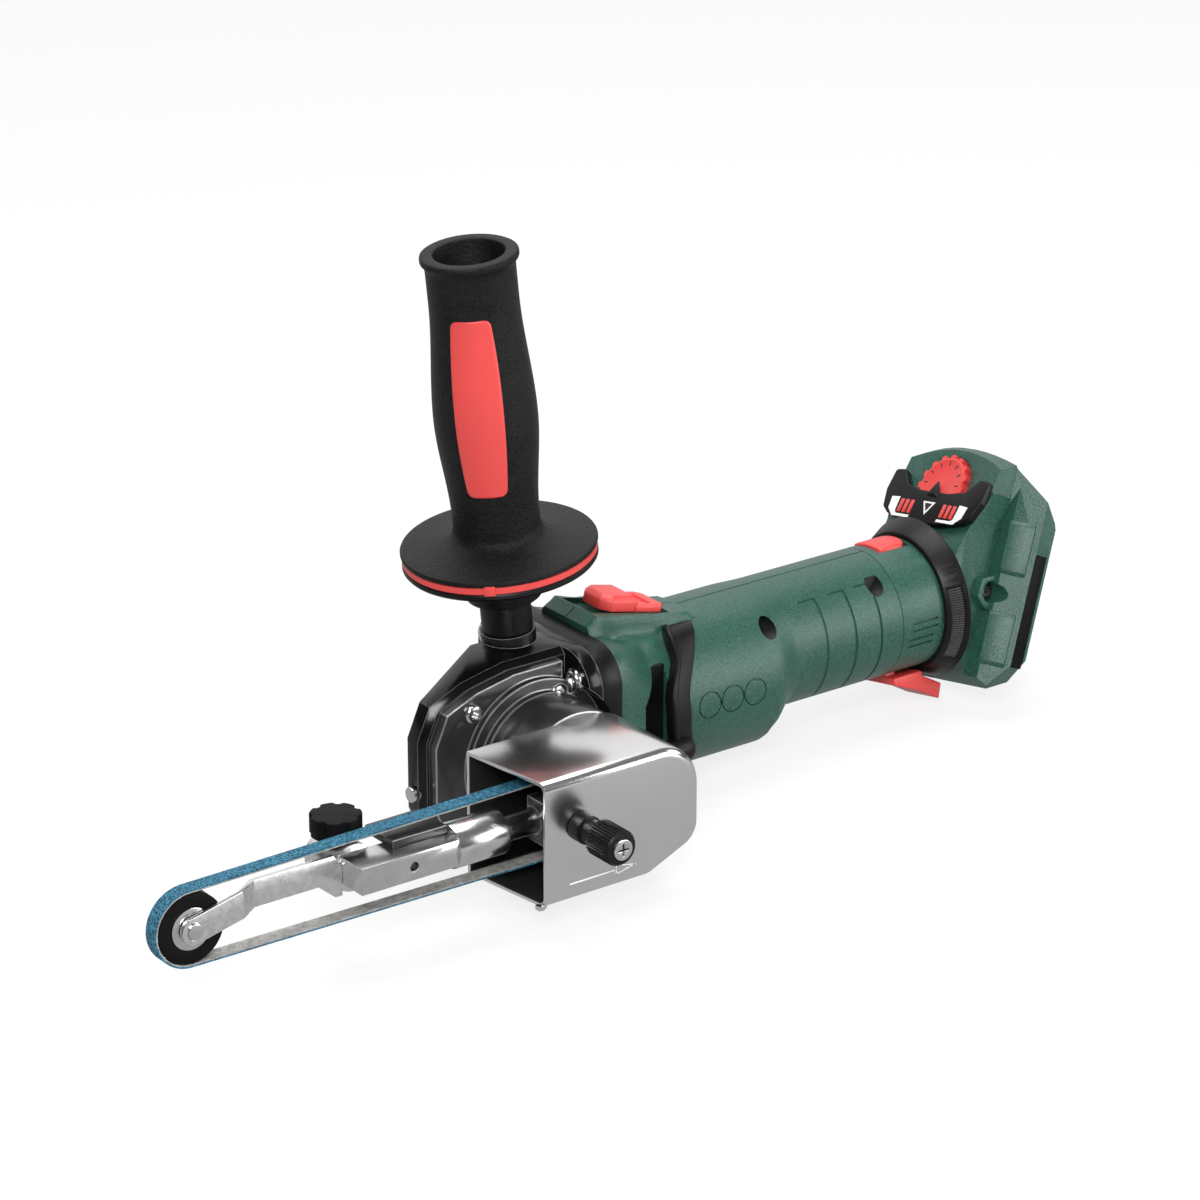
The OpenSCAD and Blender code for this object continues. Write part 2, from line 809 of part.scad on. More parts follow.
module gear_cover() {
    color("dimgray") in_frame()
        difference() {
            union() {
                side_slab(head_near, cover_t)
                    intersection() {
                        polygon([for (p = head_outline(head_side_shares)) p * cover_inset_share]);
                        translate([-head_front, -head_top]) square([head_front + cover_rear, flange_h]);
                    }
                for (sz = [-1, 1])
                    translate([cover_screw_rear, 0, sz * cover_screw_rear_z])
                        out_y(head_near) cylinder(r = cover_lug_r, h = cover_t);
                out_y(head_near + cover_t) cylinder(r = ring_big_r, h = ring_step);
                out_y(head_near + cover_t) cylinder(r = ring_small_r, h = 2 * ring_step);
                out_y(head_near + cover_t) cylinder(r = neck_r, h = neck_end - head_near - cover_t);
            }
            out_y(head_near - over) cylinder(r = outer_bearing_r + seat, h = outer_bearing_w + over);
            out_y(head_near) cylinder(r = spindle_r + 3 * run, h = neck_end);
            cover_screw_holes(head_near - over);
            for (sz = [-1, 1])
                translate([0, -head_screw_y, sz * head_screw_z])
                    along_x(head_back - lug_t - head_screw_head_t - run)
                        cylinder(r = head_screw_head_r + run, h = flange_t + lug_t);
            for (p = cover_screw_places)
                translate([p[0], 0, p[1]])
                    out_y(head_near + cover_t)
                        cylinder(r = cover_screw_head_r + run, h = 2 * ring_step + over);
        }
}

module cover_screws() {
    color("silver") in_frame()
        for (p = cover_screw_places)
            translate([p[0], 0, p[1]]) {
                out_y(head_near + cover_t + seat)
                    difference() {
                        cylinder(r = cover_screw_head_r, h = cover_screw_head_t);
                        translate([0, 0, cover_screw_head_t / 2])
                            cylinder(r = cover_screw_r, h = cover_screw_head_t, $fn = 6);
                    }
                out_y(head_near - cover_screw_bite + over)
                    cylinder(r = cover_screw_r, h = cover_screw_bite + cover_t);
            }
}

// Motor: rotor, stator, fan and bearings
core_r = 14;
air_gap = 0.6;
stator_back = 28;
stator_x = shell_x + stator_back;
stator_len = 32;
slot_count = 9;
stator_slot_r = 2.2;
fan_back = 10;
fan_x = shell_x + fan_back;
fan_r = 24;
fan_hub_r = 7;
fan_disc_t = 1.6;
fan_h = 9;
blade_t = 1.4;
blade_count = 11;
pinion_r = 6;
pinion_tip_r = 4.8;
pinion_x = 8;
pinion_teeth = 11;
tooth_cut_r = 0.7;
shaft_tail = 2;

module rotor() {
    color("silver") in_frame() {
        along_x(pinion_x + over)
            cylinder(r = shaft_r - shaft_fit, h = rear_bearing_x + bearing_w + shaft_tail - pinion_x);
        along_x(stator_x) cylinder(r = core_r, h = stator_len);
    }
}

module stator() {
    color("peru") in_frame()
        along_x(stator_x)
            difference() {
                tube(motor_r - shell_wall - seat, core_r + air_gap, stator_len);
                for (i = [0:slot_count - 1])
                    rotate([0, 0, i * 360 / slot_count])
                        translate([core_r + 2 * stator_slot_r, 0, -over])
                            cylinder(r = stator_slot_r, h = stator_len + 2 * over);
            }
}

module cooling_fan() {
    color("dimgray") in_frame()
        along_x(fan_x)
            difference() {
                union() {
                    cylinder(r = fan_hub_r, h = fan_h);
                    translate([0, 0, fan_h - fan_disc_t]) cylinder(r = fan_r, h = fan_disc_t);
                    for (i = [0:blade_count - 1])
                        rotate([0, 0, i * 360 / blade_count])
                            translate([fan_hub_r - over, -blade_t / 2, 0])
                                cube([fan_r - fan_hub_r - over, blade_t, fan_h - fan_disc_t / 2]);
                }
                translate([0, 0, -over]) cylinder(r = shaft_r, h = fan_h + 2 * over);
            }
}

module pinion() {
    color("gray") in_frame()
        along_x(pinion_x)
            difference() {
                cylinder(r1 = pinion_tip_r, r2 = pinion_r, h = head_back - pinion_x - 2 * run);
                translate([0, 0, over]) cylinder(r = shaft_r, h = head_back);
                for (i = [0:pinion_teeth - 1])
                    rotate([0, 0, i * 360 / pinion_teeth])
                        translate([pinion_r, 0, -over]) cylinder(r = tooth_cut_r, h = head_back);
            }
}

module rotor_bearings() {
    color("silver") in_frame()
        for (x = [shell_x - bearing_w, rear_bearing_x])
            along_x(x) tube(bearing_r, shaft_r, bearing_w - seat);
}

// Spindle set
spindle_step_r = 4;
crown_r = 17;
crown_t = 6;
crown_teeth = 26;
gear_gap = 0.4;
crown_out = pinion_r + gear_gap;
pulley_hub_r = 8;
pulley_seat_r = 5;
pulley_screw_r = 2;
pulley_screw_head_r = 4.5;
pulley_screw_head_t = 3.5;
pulley_screw_bite = 12;
pulley_end = belt_out + pulley_w / 2;

module spindle() {
    color("silver") in_frame()
        difference() {
            union() {
                out_y(crown_out - over)
                    cylinder(r = spindle_r - shaft_fit, h = belt_out - pulley_w / 2 - crown_out + over);
                out_y(-inner_seat_y - inner_bearing_w + run)
                    cylinder(r = spindle_step_r - shaft_fit, h = inner_seat_y + inner_bearing_w + crown_out);
                out_y(belt_out - pulley_w) cylinder(r = pulley_seat_r - seat, h = 3 * pulley_w / 2 - run);
            }
            out_y(pulley_end - pulley_screw_bite)
                cylinder(r = pulley_screw_r + seat, h = pulley_screw_bite + over);
        }
}

module crown_gear() {
    color("gray") in_frame()
        out_y(crown_out)
            difference() {
                cylinder(r = crown_r, h = crown_t);
                translate([0, 0, -over]) cylinder(r = spindle_r, h = crown_t + 2 * over);
                for (i = [0:crown_teeth - 1])
                    rotate([0, 0, i * 360 / crown_teeth])
                        translate([crown_r, 0, -over]) cylinder(r = tooth_cut_r, h = crown_t + 2 * over);
            }
}

module spindle_bearings() {
    color("silver") in_frame() {
        out_y(head_near + seat) tube(outer_bearing_r, spindle_r, outer_bearing_w - 2 * seat);
        out_y(-inner_seat_y - inner_bearing_w + seat)
            tube(inner_bearing_r, spindle_step_r, inner_bearing_w - 2 * seat);
    }
}

module drive_pulley() {
    color("dimgray") in_frame()
        out_y(belt_out - pulley_w / 2)
            difference() {
                cylinder(r = pulley_r, h = pulley_w);
                translate([0, 0, -over]) cylinder(r = pulley_seat_r, h = pulley_w + 2 * over);
            }
}

module pulley_screw() {
    color("silver") in_frame() {
        out_y(pulley_end - pulley_screw_bite + over) cylinder(r = pulley_screw_r, h = pulley_screw_bite);
        out_y(pulley_end + seat)
            difference() {
                cylinder(r = pulley_screw_head_r, h = pulley_screw_head_t);
                translate([0, 0, pulley_screw_head_t / 2])
                    cylinder(r = pulley_screw_r, h = pulley_screw_head_t, $fn = 6);
            }
    }
}

// Belt guard: a rounded box of sheet, open at the mouth
guard_corner = 19;
guard_slant = 5.5;
guard_cut_len = 22;
guard_cut_h = 9.5;
guard_hole_r = 16;

module guard_outline(inset, mouth) {
    rear = guard_rear - inset;
    top = guard_h / 2 - inset;
    corner = guard_corner - inset;
    difference() {
        translate([-guard_front - mouth, -top]) square([guard_front + mouth + rear, 2 * top]);
        translate([rear - corner, top - corner])
            difference() {
                square(corner + over);
                circle(r = corner);
            }
        polygon([
            [rear - guard_cut_len, -top], [rear + over, -top], [rear + over, -top + guard_cut_h],
            [rear, -top + guard_cut_h]
        ]);
    }
}

module belt_guard() {
    color("lightgray") in_frame()
        difference() {
            side_slab(guard_far_out, guard_w) guard_outline(0, 0);
            side_slab(guard_far_out + guard_t, guard_w - 2 * guard_t) guard_outline(guard_t, over);
            translate([0, 0, -guard_h]) linear_extrude(2 * guard_h)
                polygon([
                    [-guard_front, -guard_far_out], [-guard_front - over, -guard_far_out],
                    [-guard_front - over, -guard_near_out - over],
                    [-guard_front + guard_slant, -guard_near_out - over],
                    [-guard_front + guard_slant, -guard_near_out]
                ]);
            out_y(guard_far_out - over) cylinder(r = guard_hole_r, h = guard_t + 2 * over);
            translate([knob_x, 0, knob_z])
                out_y(guard_near_out - guard_t - over)
                    cylinder(r = knob_stem_r + run, h = guard_t + 2 * over);
        }
}

collar_t = 4;

module guard_collar() {
    color("gray") in_frame()
        out_y(neck_foot + run)
            tube(neck_r + shaft_fit + collar_t, neck_r + shaft_fit, guard_far_out - neck_foot - run);
}

// Tension rod on its bracket inside the guard
tube_x = -guard_front - tube_lead;
arm_len = arm_share * (tube_x - pin_x);
bar_x = pin_x + arm_len;
bar_len = tube_x - bar_x;
bar_far_out = belt_out - arm_t;
bar_mid_out = bar_far_out + bar_w / 2;
bar_z = 2.8;
rod_r = 5;
cap_t = 2.5;
rod_gap = 3;
rod_x = tube_x + cap_t + arm_travel + rod_gap;
bracket_lead = 8;
bracket_x = knob_x - bracket_lead;
bracket_len = 15;
bracket_h = 17;
bracket_side = 1.5;
bracket_far_out = belt_out + bracket_side;
knob_stem_out = bar_mid_out + rod_r + 2 * run;

module at_bar() translate([0, -bar_mid_out, bar_z]) children();

module tension_bracket() {
    color("dimgray") in_frame()
        difference() {
            translate([bracket_x, -guard_near_out + guard_t + seat, bar_z - bracket_h / 2])
                cube([bracket_len, guard_near_out - guard_t - seat - bracket_far_out, bracket_h]);
            at_bar() along_x(bracket_x - over) cylinder(r = rod_r + seat, h = bracket_len / 2 + over);
            translate([knob_x, 0, knob_z])
                out_y(knob_stem_out - run)
                    cylinder(r = knob_stem_r + shaft_fit, h = guard_near_out - knob_stem_out + over);
        }
}

module tension_rod() {
    color("silver") in_frame()
        at_bar() along_x(rod_x) cylinder(r = rod_r, h = bracket_x + bracket_len / 2 - rod_x - seat);
}

module tension_tube() {
    color("silver") in_frame()
        at_bar() along_x(tube_x)
            difference() {
                cylinder(r = tube_r, h = tube_len);
                translate([0, 0, cap_t]) cylinder(r = rod_r + shaft_fit, h = tube_len);
            }
}

spring_wire = 1.1;
spring_turns = 5;
spring_sides = 6;
spring_steps = 8;
spring_len = arm_travel + rod_gap - spring_wire - 2 * seat;
spring_r = rod_r - spring_wire;
spring_count = spring_turns * spring_steps;
function spring_angle(i) = 360 * i / spring_steps;
function spring_point(i) =
    let (a = spring_angle(i))
        [spring_r * cos(a), spring_r * sin(a), spring_wire / 2 + spring_len * i / spring_count];
spring_gap = norm(spring_point(spring_steps) - spring_point(0)) - spring_wire;
echo(spring_least_gap = spring_gap);

module tension_spring() {
    rings = [for (i = [0:spring_count], j = [0:spring_sides - 1])
        let (a = 360 * j / spring_sides, u = spring_angle(i), p = spring_point(i))
            p + spring_wire / 2 * [cos(a) * cos(u), cos(a) * sin(u), sin(a)]];
    n = spring_sides;
    last = spring_count * n;
    walls = [for (i = [0:spring_count - 1], j = [0:n - 1], k = [0, 1])
        let (p = i * n + j, q = i * n + (j + 1) % n)
            k == 0 ? [p, q, q + n] : [p, q + n, p + n]];
    ends = [for (j = [1:n - 2], k = [0, 1])
        k == 0 ? [0, j + 1, j] : [last, last + j, last + j + 1]];
    color("dimgray") in_frame()
        at_bar() along_x(tube_x + cap_t + seat) polyhedron(points = rings, faces = concat(walls, ends));
}

// Knurled tracking knob and the screw that holds it
knurl_count = 40;
knurl_r = 0.45;
tracking_screw_r = 1.4;
tracking_screw_head_r = 4;
tracking_screw_len = 10;
tracking_slot_share = 0.6;

module at_knob() translate([knob_x, 0, knob_z]) children();

module tracking_knob() {
    head_out = guard_near_out + knob_seat_len + knob_neck_len;
    color("black") in_frame() at_knob()
        difference() {
            union() {
                out_y(knob_stem_out) cylinder(r = knob_stem_r, h = head_out - knob_stem_out);
                out_y(guard_near_out + run) cylinder(r = knob_seat_r, h = knob_seat_len);
                out_y(guard_near_out + run) cylinder(r = knob_neck_r, h = knob_seat_len + knob_neck_len);
                out_y(head_out) cylinder(r = knob_d / 2, h = knob_len);
            }
            out_y(knob_tip - tracking_screw_len)
                cylinder(r = tracking_screw_r + seat, h = tracking_screw_len + over);
            out_y(knob_tip - screw_dome) cylinder(r = tracking_screw_head_r + seat, h = screw_dome + over);
            for (i = [0:knurl_count - 1])
                rotate([0, i * 360 / knurl_count, 0])
                    translate([knob_d / 2, 0, 0])
                        out_y(head_out + knurl_r) cylinder(r = knurl_r, h = knob_len - 3 * knurl_r, $fn = 4);
        }
}

module tracking_screw() {
    slot_t = tracking_screw_r / 2;
    slot_r = tracking_screw_head_r * tracking_slot_share;
    color("silver") in_frame() at_knob()
        difference() {
            union() {
                out_y(knob_tip - tracking_screw_len + seat)
                    cylinder(r = tracking_screw_r, h = tracking_screw_len - seat);
                out_y(knob_tip - screw_dome + seat)
                    cylinder(r = tracking_screw_head_r, h = 2 * screw_dome - seat);
            }
            for (a = [0, 90])
                rotate([0, a, 0])
                    translate([-slot_r, -knob_tip - over, -slot_t / 2])
                        cube([2 * slot_r, over + screw_dome / 2, slot_t]);
        }
}

// Belt arm: bar, backing plate, bent arm, clamp boss and knob
platen_w = 18;
platen_t = 3.2;
platen_lead = 18;

module arm_bar() {
    hole_r = 1.8;
    hole_share = 0.54;
    color("silver") in_frame()
        difference() {
            translate([bar_x, -bar_far_out - bar_w, bar_z - bar_h / 2]) cube([bar_len, bar_w - seat, bar_h]);
            translate([bar_x + hole_share * bar_len, 0, bar_z])
                out_y(bar_far_out - over) cylinder(r = hole_r, h = bar_w + 2 * over);
        }
}

module backing_plate() {
    color("dimgray") in_frame()
        translate([bar_x + platen_lead, -bar_mid_out - seat, bar_z + bar_h / 2 + seat])
            cube([bar_len - platen_lead, platen_w, platen_t]);
}

arm_tip_r = 5.2;
bend_from = 19;
bend_to = 27;
arm_foot = 0.2;
tip_side = 0.7;
roller_side_gap = 0.7;
heel_drop = 6.8;
heel_len = 10;
heel_slope = 7;
heel_top = 1.2;
pin_r = 3;

module arm_side() {
    low = bar_z - bar_h / 2 + arm_foot + heel_top;
    high = low + arm_h;
    circle(r = arm_tip_r);
    polygon([[0, arm_tip_r], [0, -arm_tip_r], [bend_from, low], [bend_from, high]]);
    polygon([
        [bend_from, low], [arm_len - heel_len, low], [arm_len - heel_len + heel_slope, -heel_drop],
        [arm_len, -heel_drop], [arm_len, high - arm_h / 2], [arm_len - heel_slope / 2, high],
        [bend_from, high]
    ]);
}

module arm_plan() {
    tip_y = belt_near_y - roller_side_gap;
    main_y = -belt_out;
    polygon([
        [-arm_tip_r - over, tip_y], [bend_from, tip_y], [bend_to, main_y + arm_t],
        [arm_len + over, main_y + arm_t], [arm_len + over, main_y], [bend_to + tip_side, main_y],
        [bend_from + tip_side, tip_y - arm_t],
        [-arm_tip_r - over, tip_y - arm_t]
    ]);
}

module belt_arm() {
    color("silver") in_frame() translate([pin_x, 0, 0])
        difference() {
            intersection() {
                side_slab(0, 2 * belt_out) arm_side();
                translate([0, 0, -2 * arm_h]) linear_extrude(4 * arm_h) arm_plan();
            }
            out_y(belt_out) cylinder(r = pin_r + seat, h = belt_out);
        }
}

boss_len = 18;
boss_rad = 9;
boss_z = 1.5;
boss_back = 6;
clamp_x = bar_x + boss_back;
clamp_out = belt_out - belt_w / 2 - clamp_knob_r - run;
clamp_knob_h = 7.5;
clamp_stem_r = 3;
clamp_lobes = 7;
clamp_lobe_r = 1.9;
clamp_knob_z = boss_z + boss_rad + 2 * run;

module clamp_boss() {
    color("silver") in_frame()
        difference() {
            translate([clamp_x, 0, boss_z])
                out_y(bar_far_out - seat - boss_len) cylinder(r = boss_rad, h = boss_len);
            translate([clamp_x, -clamp_out, boss_z])
                cylinder(r = clamp_stem_r + shaft_fit, h = 2 * boss_rad);
        }
}

module clamp_knob() {
    color("black") in_frame() translate([clamp_x, -clamp_out, 0])
        difference() {
            union() {
                translate([0, 0, boss_z + run]) cylinder(r = clamp_stem_r, h = clamp_knob_z - boss_z);
                translate([0, 0, clamp_knob_z]) cylinder(r = clamp_knob_r, h = clamp_knob_h);
            }
            for (i = [0:clamp_lobes - 1])
                rotate([0, 0, i * 360 / clamp_lobes])
                    translate([clamp_knob_r + clamp_lobe_r / 3, 0, clamp_knob_z - over])
                        cylinder(r = clamp_lobe_r, h = clamp_knob_h + 2 * over);
        }
}

// Contact roller on its bearing and pin, and the belt round both rollers
roller_bearing_r = 8;
roller_lip = 0.3;
roller_w = belt_w + 2 * roller_lip;
pin_head_r = 4.2;
pin_head_t = 1;

module roller_pin() {
    color("gray") in_frame() translate([pin_x, 0, 0]) {
        out_y(belt_out - roller_w / 2)
            cylinder(r = pin_r, h = roller_w + roller_side_gap + arm_t + pin_head_t / 2);
        out_y(belt_out - roller_w / 2 - pin_head_t) cylinder(r = pin_head_r, h = pin_head_t - seat);
    }
}

module roller_bearing() {
    color("silver") in_frame() translate([pin_x, 0, 0])
        out_y(belt_out - roller_w / 2) tube(roller_bearing_r - shaft_fit, pin_r + shaft_fit, roller_w);
}

module contact_roller() {
    color("black") in_frame() translate([pin_x, 0, 0])
        out_y(belt_out - roller_w / 2) tube(roller_r, roller_bearing_r + shaft_fit, roller_w);
}

module belt_loop_2d(r) {
    big_r = r + pulley_extra;
    touch = [-sin(belt_spread), cos(belt_spread)];
    polygon([
        [pin_x, 0] + r * touch, big_r * touch, [big_r * touch[0], -big_r * touch[1]],
        [pin_x + r * touch[0], -r * touch[1]]
    ]);
    circle(r = big_r);
    translate([pin_x, 0]) circle(r = r);
}

module sanding_belt() {
    color("steelblue") in_frame()
        side_slab(belt_out - belt_w / 2, belt_w)
            difference() {
                belt_loop_2d(belt_out_r);
                belt_loop_2d(belt_in_r);
            }
}

// Slide switch on the hump, and the switch unit below it
block_len = 16;
block_h = 6;
tongue_w = slot_w - 2 * run;
tongue_len = 10;
tongue_drop = 6;
unit_len = switch_len - 2 * switch_travel - 2 * seat;
unit_h = 7;

module slide_switch() {
    rib_h = 1.2;
    rib_len = 2.4;
    rib_shares = [0.62, 0.8];
    color("tomato") in_frame() on_hump() {
        translate([switch_front, -switch_w / 2, seat]) cube([switch_len, switch_w, plate_t]);
        translate([switch_front, -switch_w / 2, seat]) cube([block_len, switch_w, block_h]);
        for (s = rib_shares)
            translate([switch_front + s * switch_len, -switch_w / 2, plate_t])
                cube([rib_len, switch_w, rib_h]);
        translate([switch_front + switch_travel, -tongue_w / 2, -tongue_drop])
            cube([tongue_len, tongue_w, tongue_drop + over]);
    }
}

module switch_unit() {
    color("dimgray") in_frame() on_hump()
        translate([switch_front + seat, -slot_w / 2 + seat, -tongue_drop - run - unit_h])
            cube([unit_len, slot_w - 2 * seat, unit_h]);
}

// Speed dial, indicator panel and lights
dial_notches = 30;
dial_notch_r = 0.8;
panel_low = 11;
panel_len = 15;
panel_t = 3.6;
panel_cut = 5;
light_len = 6;
light_w = 2.2;
light_step = 3.1;
light_sink = 0.8;
light_proud = 0.1;
light_up = 15;
light_out = 10;

module speed_dial() {
    color("tomato") in_foot() on_face() translate([dial_up, 0, 0])
        difference() {
            union() {
                translate([0, 0, -dial_sink]) cylinder(r = dial_r, h = dial_t);
                translate([0, 0, -dial_sink - dial_shaft_len])
                    cylinder(r = dial_shaft_r, h = dial_shaft_len + over);
            }
            for (i = [0:dial_notches - 1])
                rotate([0, 0, i * 360 / dial_notches])
                    translate([dial_r, 0, -dial_sink - over])
                        cylinder(r = dial_notch_r, h = dial_t + 2 * over, $fn = 6);
        }
}

module light_boxes(grow) {
    tall = light_sink + light_proud + over * sign(grow);
    for (side = [-1, 1], i = [0:2])
        translate([0, side * (light_out + i * light_step), panel_t - light_sink])
            translate([light_up - grow, -light_w / 2 - grow, -grow])
                cube([light_len + 2 * grow, light_w + 2 * grow, tall]);
}

module indicator_panel() {
    high = panel_low + panel_len;
    ear = high + panel_cut;
    wide = panel_w / 2;
    color("black") in_foot() on_face()
        difference() {
            translate([0, 0, seat]) linear_extrude(panel_t)
                polygon([
                    [panel_low, -wide / 3], [panel_low + panel_cut, -wide + panel_cut / 2],
                    [high - panel_cut / 2, -wide],
                    [ear, -wide], [ear, -wide + panel_cut], [high, -wide + 2 * panel_cut],
                    [high, wide - 2 * panel_cut], [ear, wide - panel_cut], [ear, wide],
                    [high - panel_cut / 2, wide], [panel_low + panel_cut, wide - panel_cut / 2],
                    [panel_low, wide / 3]
                ]);
            translate([dial_up, 0, -over]) cylinder(r = dial_r + run, h = dial_t - dial_sink + run + over);
            translate([0, 0, seat]) light_boxes(seat);
        }
}

module indicator_lights() {
    color("tomato") in_foot() on_face() translate([0, 0, seat]) light_boxes(0);
}

module control_board() {
    board_t = 1.6;
    board_len = 26;
    chip_h = 6;
    chip_len = 12;
    board_in = 4;
    half_w = sqrt(pow(grip_r - shell_wall, 2) - pow(grip_rise + board_t, 2)) - seat;
    color("seagreen") in_frame() {
        translate([grip_x + board_in, -half_w, -board_t]) cube([board_len, 2 * half_w, board_t]);
        translate([grip_x + 2 * board_in, -half_w / 2, -seat]) cube([chip_len, half_w, chip_h]);
    }
}

// Lock button and lever at the neck
module lock_button() {
    color("tomato") in_foot()
        intersection() {
            translate([0, 0, grip_rise]) along_x(seam_x)
                tube(grip_r + button_proud, grip_r - 2 * button_t, sleeve_len);
            button_window(0, button_t);
        }
}

module lock_lever() {
    tail_x = lever_x + lever_len;
    color("tomato") in_foot()
        difference() {
            union() {
                at_lever_pin() out_y(-knuckle_w / 2) cylinder(r = knuckle_r, h = knuckle_w);
                translate([lever_x, -knuckle_w / 2, lever_z - lever_root])
                    cube([2 * knuckle_r, knuckle_w, lever_root + lever_pin_up]);
                side_slab(-lever_w / 2, lever_w)
                    polygon([
                        [lever_x, lever_z - lever_gap], [filter_x - lever_gap, lever_z - lever_gap],
                        [filter_x - lever_gap, grip_rise - filter_front_r - lever_gap],
                        [tail_x, lever_z - lever_end_drop + lever_end_t],
                        [tail_x - lever_tip, lever_z - lever_end_drop],
                        [lever_x + lever_len / 2, lever_z - lever_mid_drop], [lever_x, lever_z - lever_root]
                    ]);
            }
            at_lever_pin() out_y(-lever_w) cylinder(r = lever_pin_r + shaft_fit, h = 2 * lever_w);
        }
}

module lever_pin() {
    pin_len = knuckle_w + 2 * lever_pin_bite - 2 * seat;
    color("silver") in_foot() at_lever_pin() out_y(-pin_len / 2) cylinder(r = lever_pin_r, h = pin_len);
}

// Dust filter ring with one window on each flank, measured from the bottom of the ring
window_mid_turn = 75;
window_turn = 60;
filter_rim = 2;
filter_front_r = 28.5;
mesh_t = 0.8;
mesh_deep = 1.3;
mesh_turn_gap = 0.2;

// Wall of the ring between two depths below its sloping outside
function filter_depth(x) = filter_front_r + (filter_r - filter_front_r) * x / filter_w;
module filter_skin(x_from, x_to, deep, shallow) {
    polygon([
        [filter_depth(x_from) - deep, x_from], [filter_depth(x_from) - shallow, x_from],
        [filter_depth(x_to) - shallow, x_to], [filter_depth(x_to) - deep, x_to]
    ]);
}

module filter_sectors(grow) {
    for (side = [-1, 1])
        rotate([0, 0, side * window_mid_turn - window_turn / 2 - grow])
            rotate_extrude(angle = window_turn + 2 * grow) children();
}

module at_filter() translate([0, 0, grip_rise]) along_x(filter_x) children();

module dust_filter_frame() {
    color("black") in_foot() at_filter()
        difference() {
            rotate_extrude()
                polygon([
                    [grip_r + seat, 0], [filter_front_r, 0], [filter_r, filter_w - seat],
                    [grip_r + seat, filter_w - seat]
                ]);
            filter_sectors(0)
                filter_skin(filter_rim, filter_w - filter_rim, mesh_deep, -over);
        }
}

module dust_filter_mesh() {
    color("dimgray") in_foot() at_filter()
        filter_sectors(-mesh_turn_gap)
            filter_skin(filter_rim + seat, filter_w - filter_rim - seat, mesh_deep - seat,
                mesh_deep - mesh_t);
}

// Battery contacts and rail strips
block_w = 34;
block_deep = 6;
block_up = 14;
block_tall = 20;
blade_w = 0.9;
blade_out = 2.5;
blade_shares = [-0.36, -0.12, 0.12, 0.36];

module terminal_block() {
    color("black") in_foot() on_rails()
        difference() {
            translate([-slot_deep + seat, -block_w / 2, block_up]) cube([block_deep, block_w, block_tall]);
            for (s = blade_shares)
                translate([-slot_deep, s * block_w - blade_w / 2 - seat, block_up])
                    translate([2 * blade_w, 0, 2 * blade_w])
                        cube([block_deep, blade_w + 2 * seat, block_tall]);
        }
}

module contact_blades() {
    color("gold") in_foot() on_rails()
        for (s = blade_shares)
            translate([-slot_deep + seat, s * block_w - blade_w / 2, block_up + seat])
                translate([2 * blade_w, 0, 2 * blade_w])
                    cube([block_deep - 2 * blade_w + blade_out, blade_w, block_tall - 4 * blade_w]);
}

module rail_strips() color("black") in_foot() strip_blocks(0);

// Side handle, in axes that stand on its hole
sleeve_r = 9.7;
sleeve_h = 13.5;
collar_low_r = 14;
collar_high_r = 17;
base_t = 1.8;
damper_h = 4;
damper_inset = 0.4;
damper_in_r = 24;
rim_h = 2.3;
grip_base_r = 16.4;
grip_top_r = 16.7;
lip_r = 18.3;
lip_h = 3.2;
lip_edge_share = 0.3;
hollow_deep = 60;
stud_r = m8_r - shaft_fit;
stud_grip = 14;
stud_top = flange_rise + damper_h + stud_grip;
base_share = 0.1;
bulge_share = 0.44;
top_share = 0.84;
profile_steps = 10;
inlay_deep = 1.6;
inlay_proud = 0.4;
inlay_turn = 41;
inlay_low_share = 0.216;
inlay_high_share = 0.82;
inlay_mid_w = 19.6;
inlay_end_w = 15.4;
disc_top = flange_rise + damper_h + rim_h;
function ease(a, b, t) = a + (b - a) * (1 - cos(180 * t)) / 2;
function grip_radius(u) =
    u < base_share ? grip_base_r + (hand_flange_r - grip_base_r) * pow(1 - u / base_share, 6)
    : u < bulge_share ? ease(grip_base_r, bulge_r, (u - base_share) / (bulge_share - base_share))
    : u < top_share ? ease(bulge_r, grip_top_r, (u - bulge_share) / (top_share - bulge_share))
    : grip_top_r;
grip_stations = concat(
    [for (i = [1:profile_steps - 1]) base_share * i / profile_steps],
    [for (i = [0:profile_steps]) base_share + (bulge_share - base_share) * i / profile_steps],
    [for (i = [1:profile_steps]) bulge_share + (top_share - bulge_share) * i / profile_steps]
);
lip_share = 1 - lip_h / handle_len;
lip_edge = lip_edge_share * lip_h;
function grip_wall(grow) = [for (u = grip_stations) [grip_radius(u) + grow, disc_top + u * handle_len]];
grip_crown = disc_top + handle_len;

module on_handle() on_handle_hole(1) children();

module inlay_window(grow) {
    low = disc_top + inlay_low_share * handle_len - grow;
    high = disc_top + inlay_high_share * handle_len + grow;
    mid = disc_top + (inlay_low_share + inlay_high_share) / 2 * handle_len;
    end_w = inlay_end_w / 2 + grow;
    mid_w = inlay_mid_w / 2 + grow;
    rotate([0, 0, -inlay_turn]) rotate([90, 0, 0]) linear_extrude(2 * bulge_r)
        polygon([[-end_w, low], [end_w, low], [mid_w, mid], [end_w, high], [-end_w, high], [-mid_w, mid]]);
}

module inlay_skin(inner, outer) {
    inside = grip_wall(inner);
    outside = grip_wall(outer);
    low = disc_top + base_share * handle_len;
    rotate_extrude()
        polygon(concat(
            [for (p = outside) if (p[1] > low) p],
            [for (i = [len(inside) - 1:-1:0]) if (inside[i][1] > low) inside[i]]
        ));
}

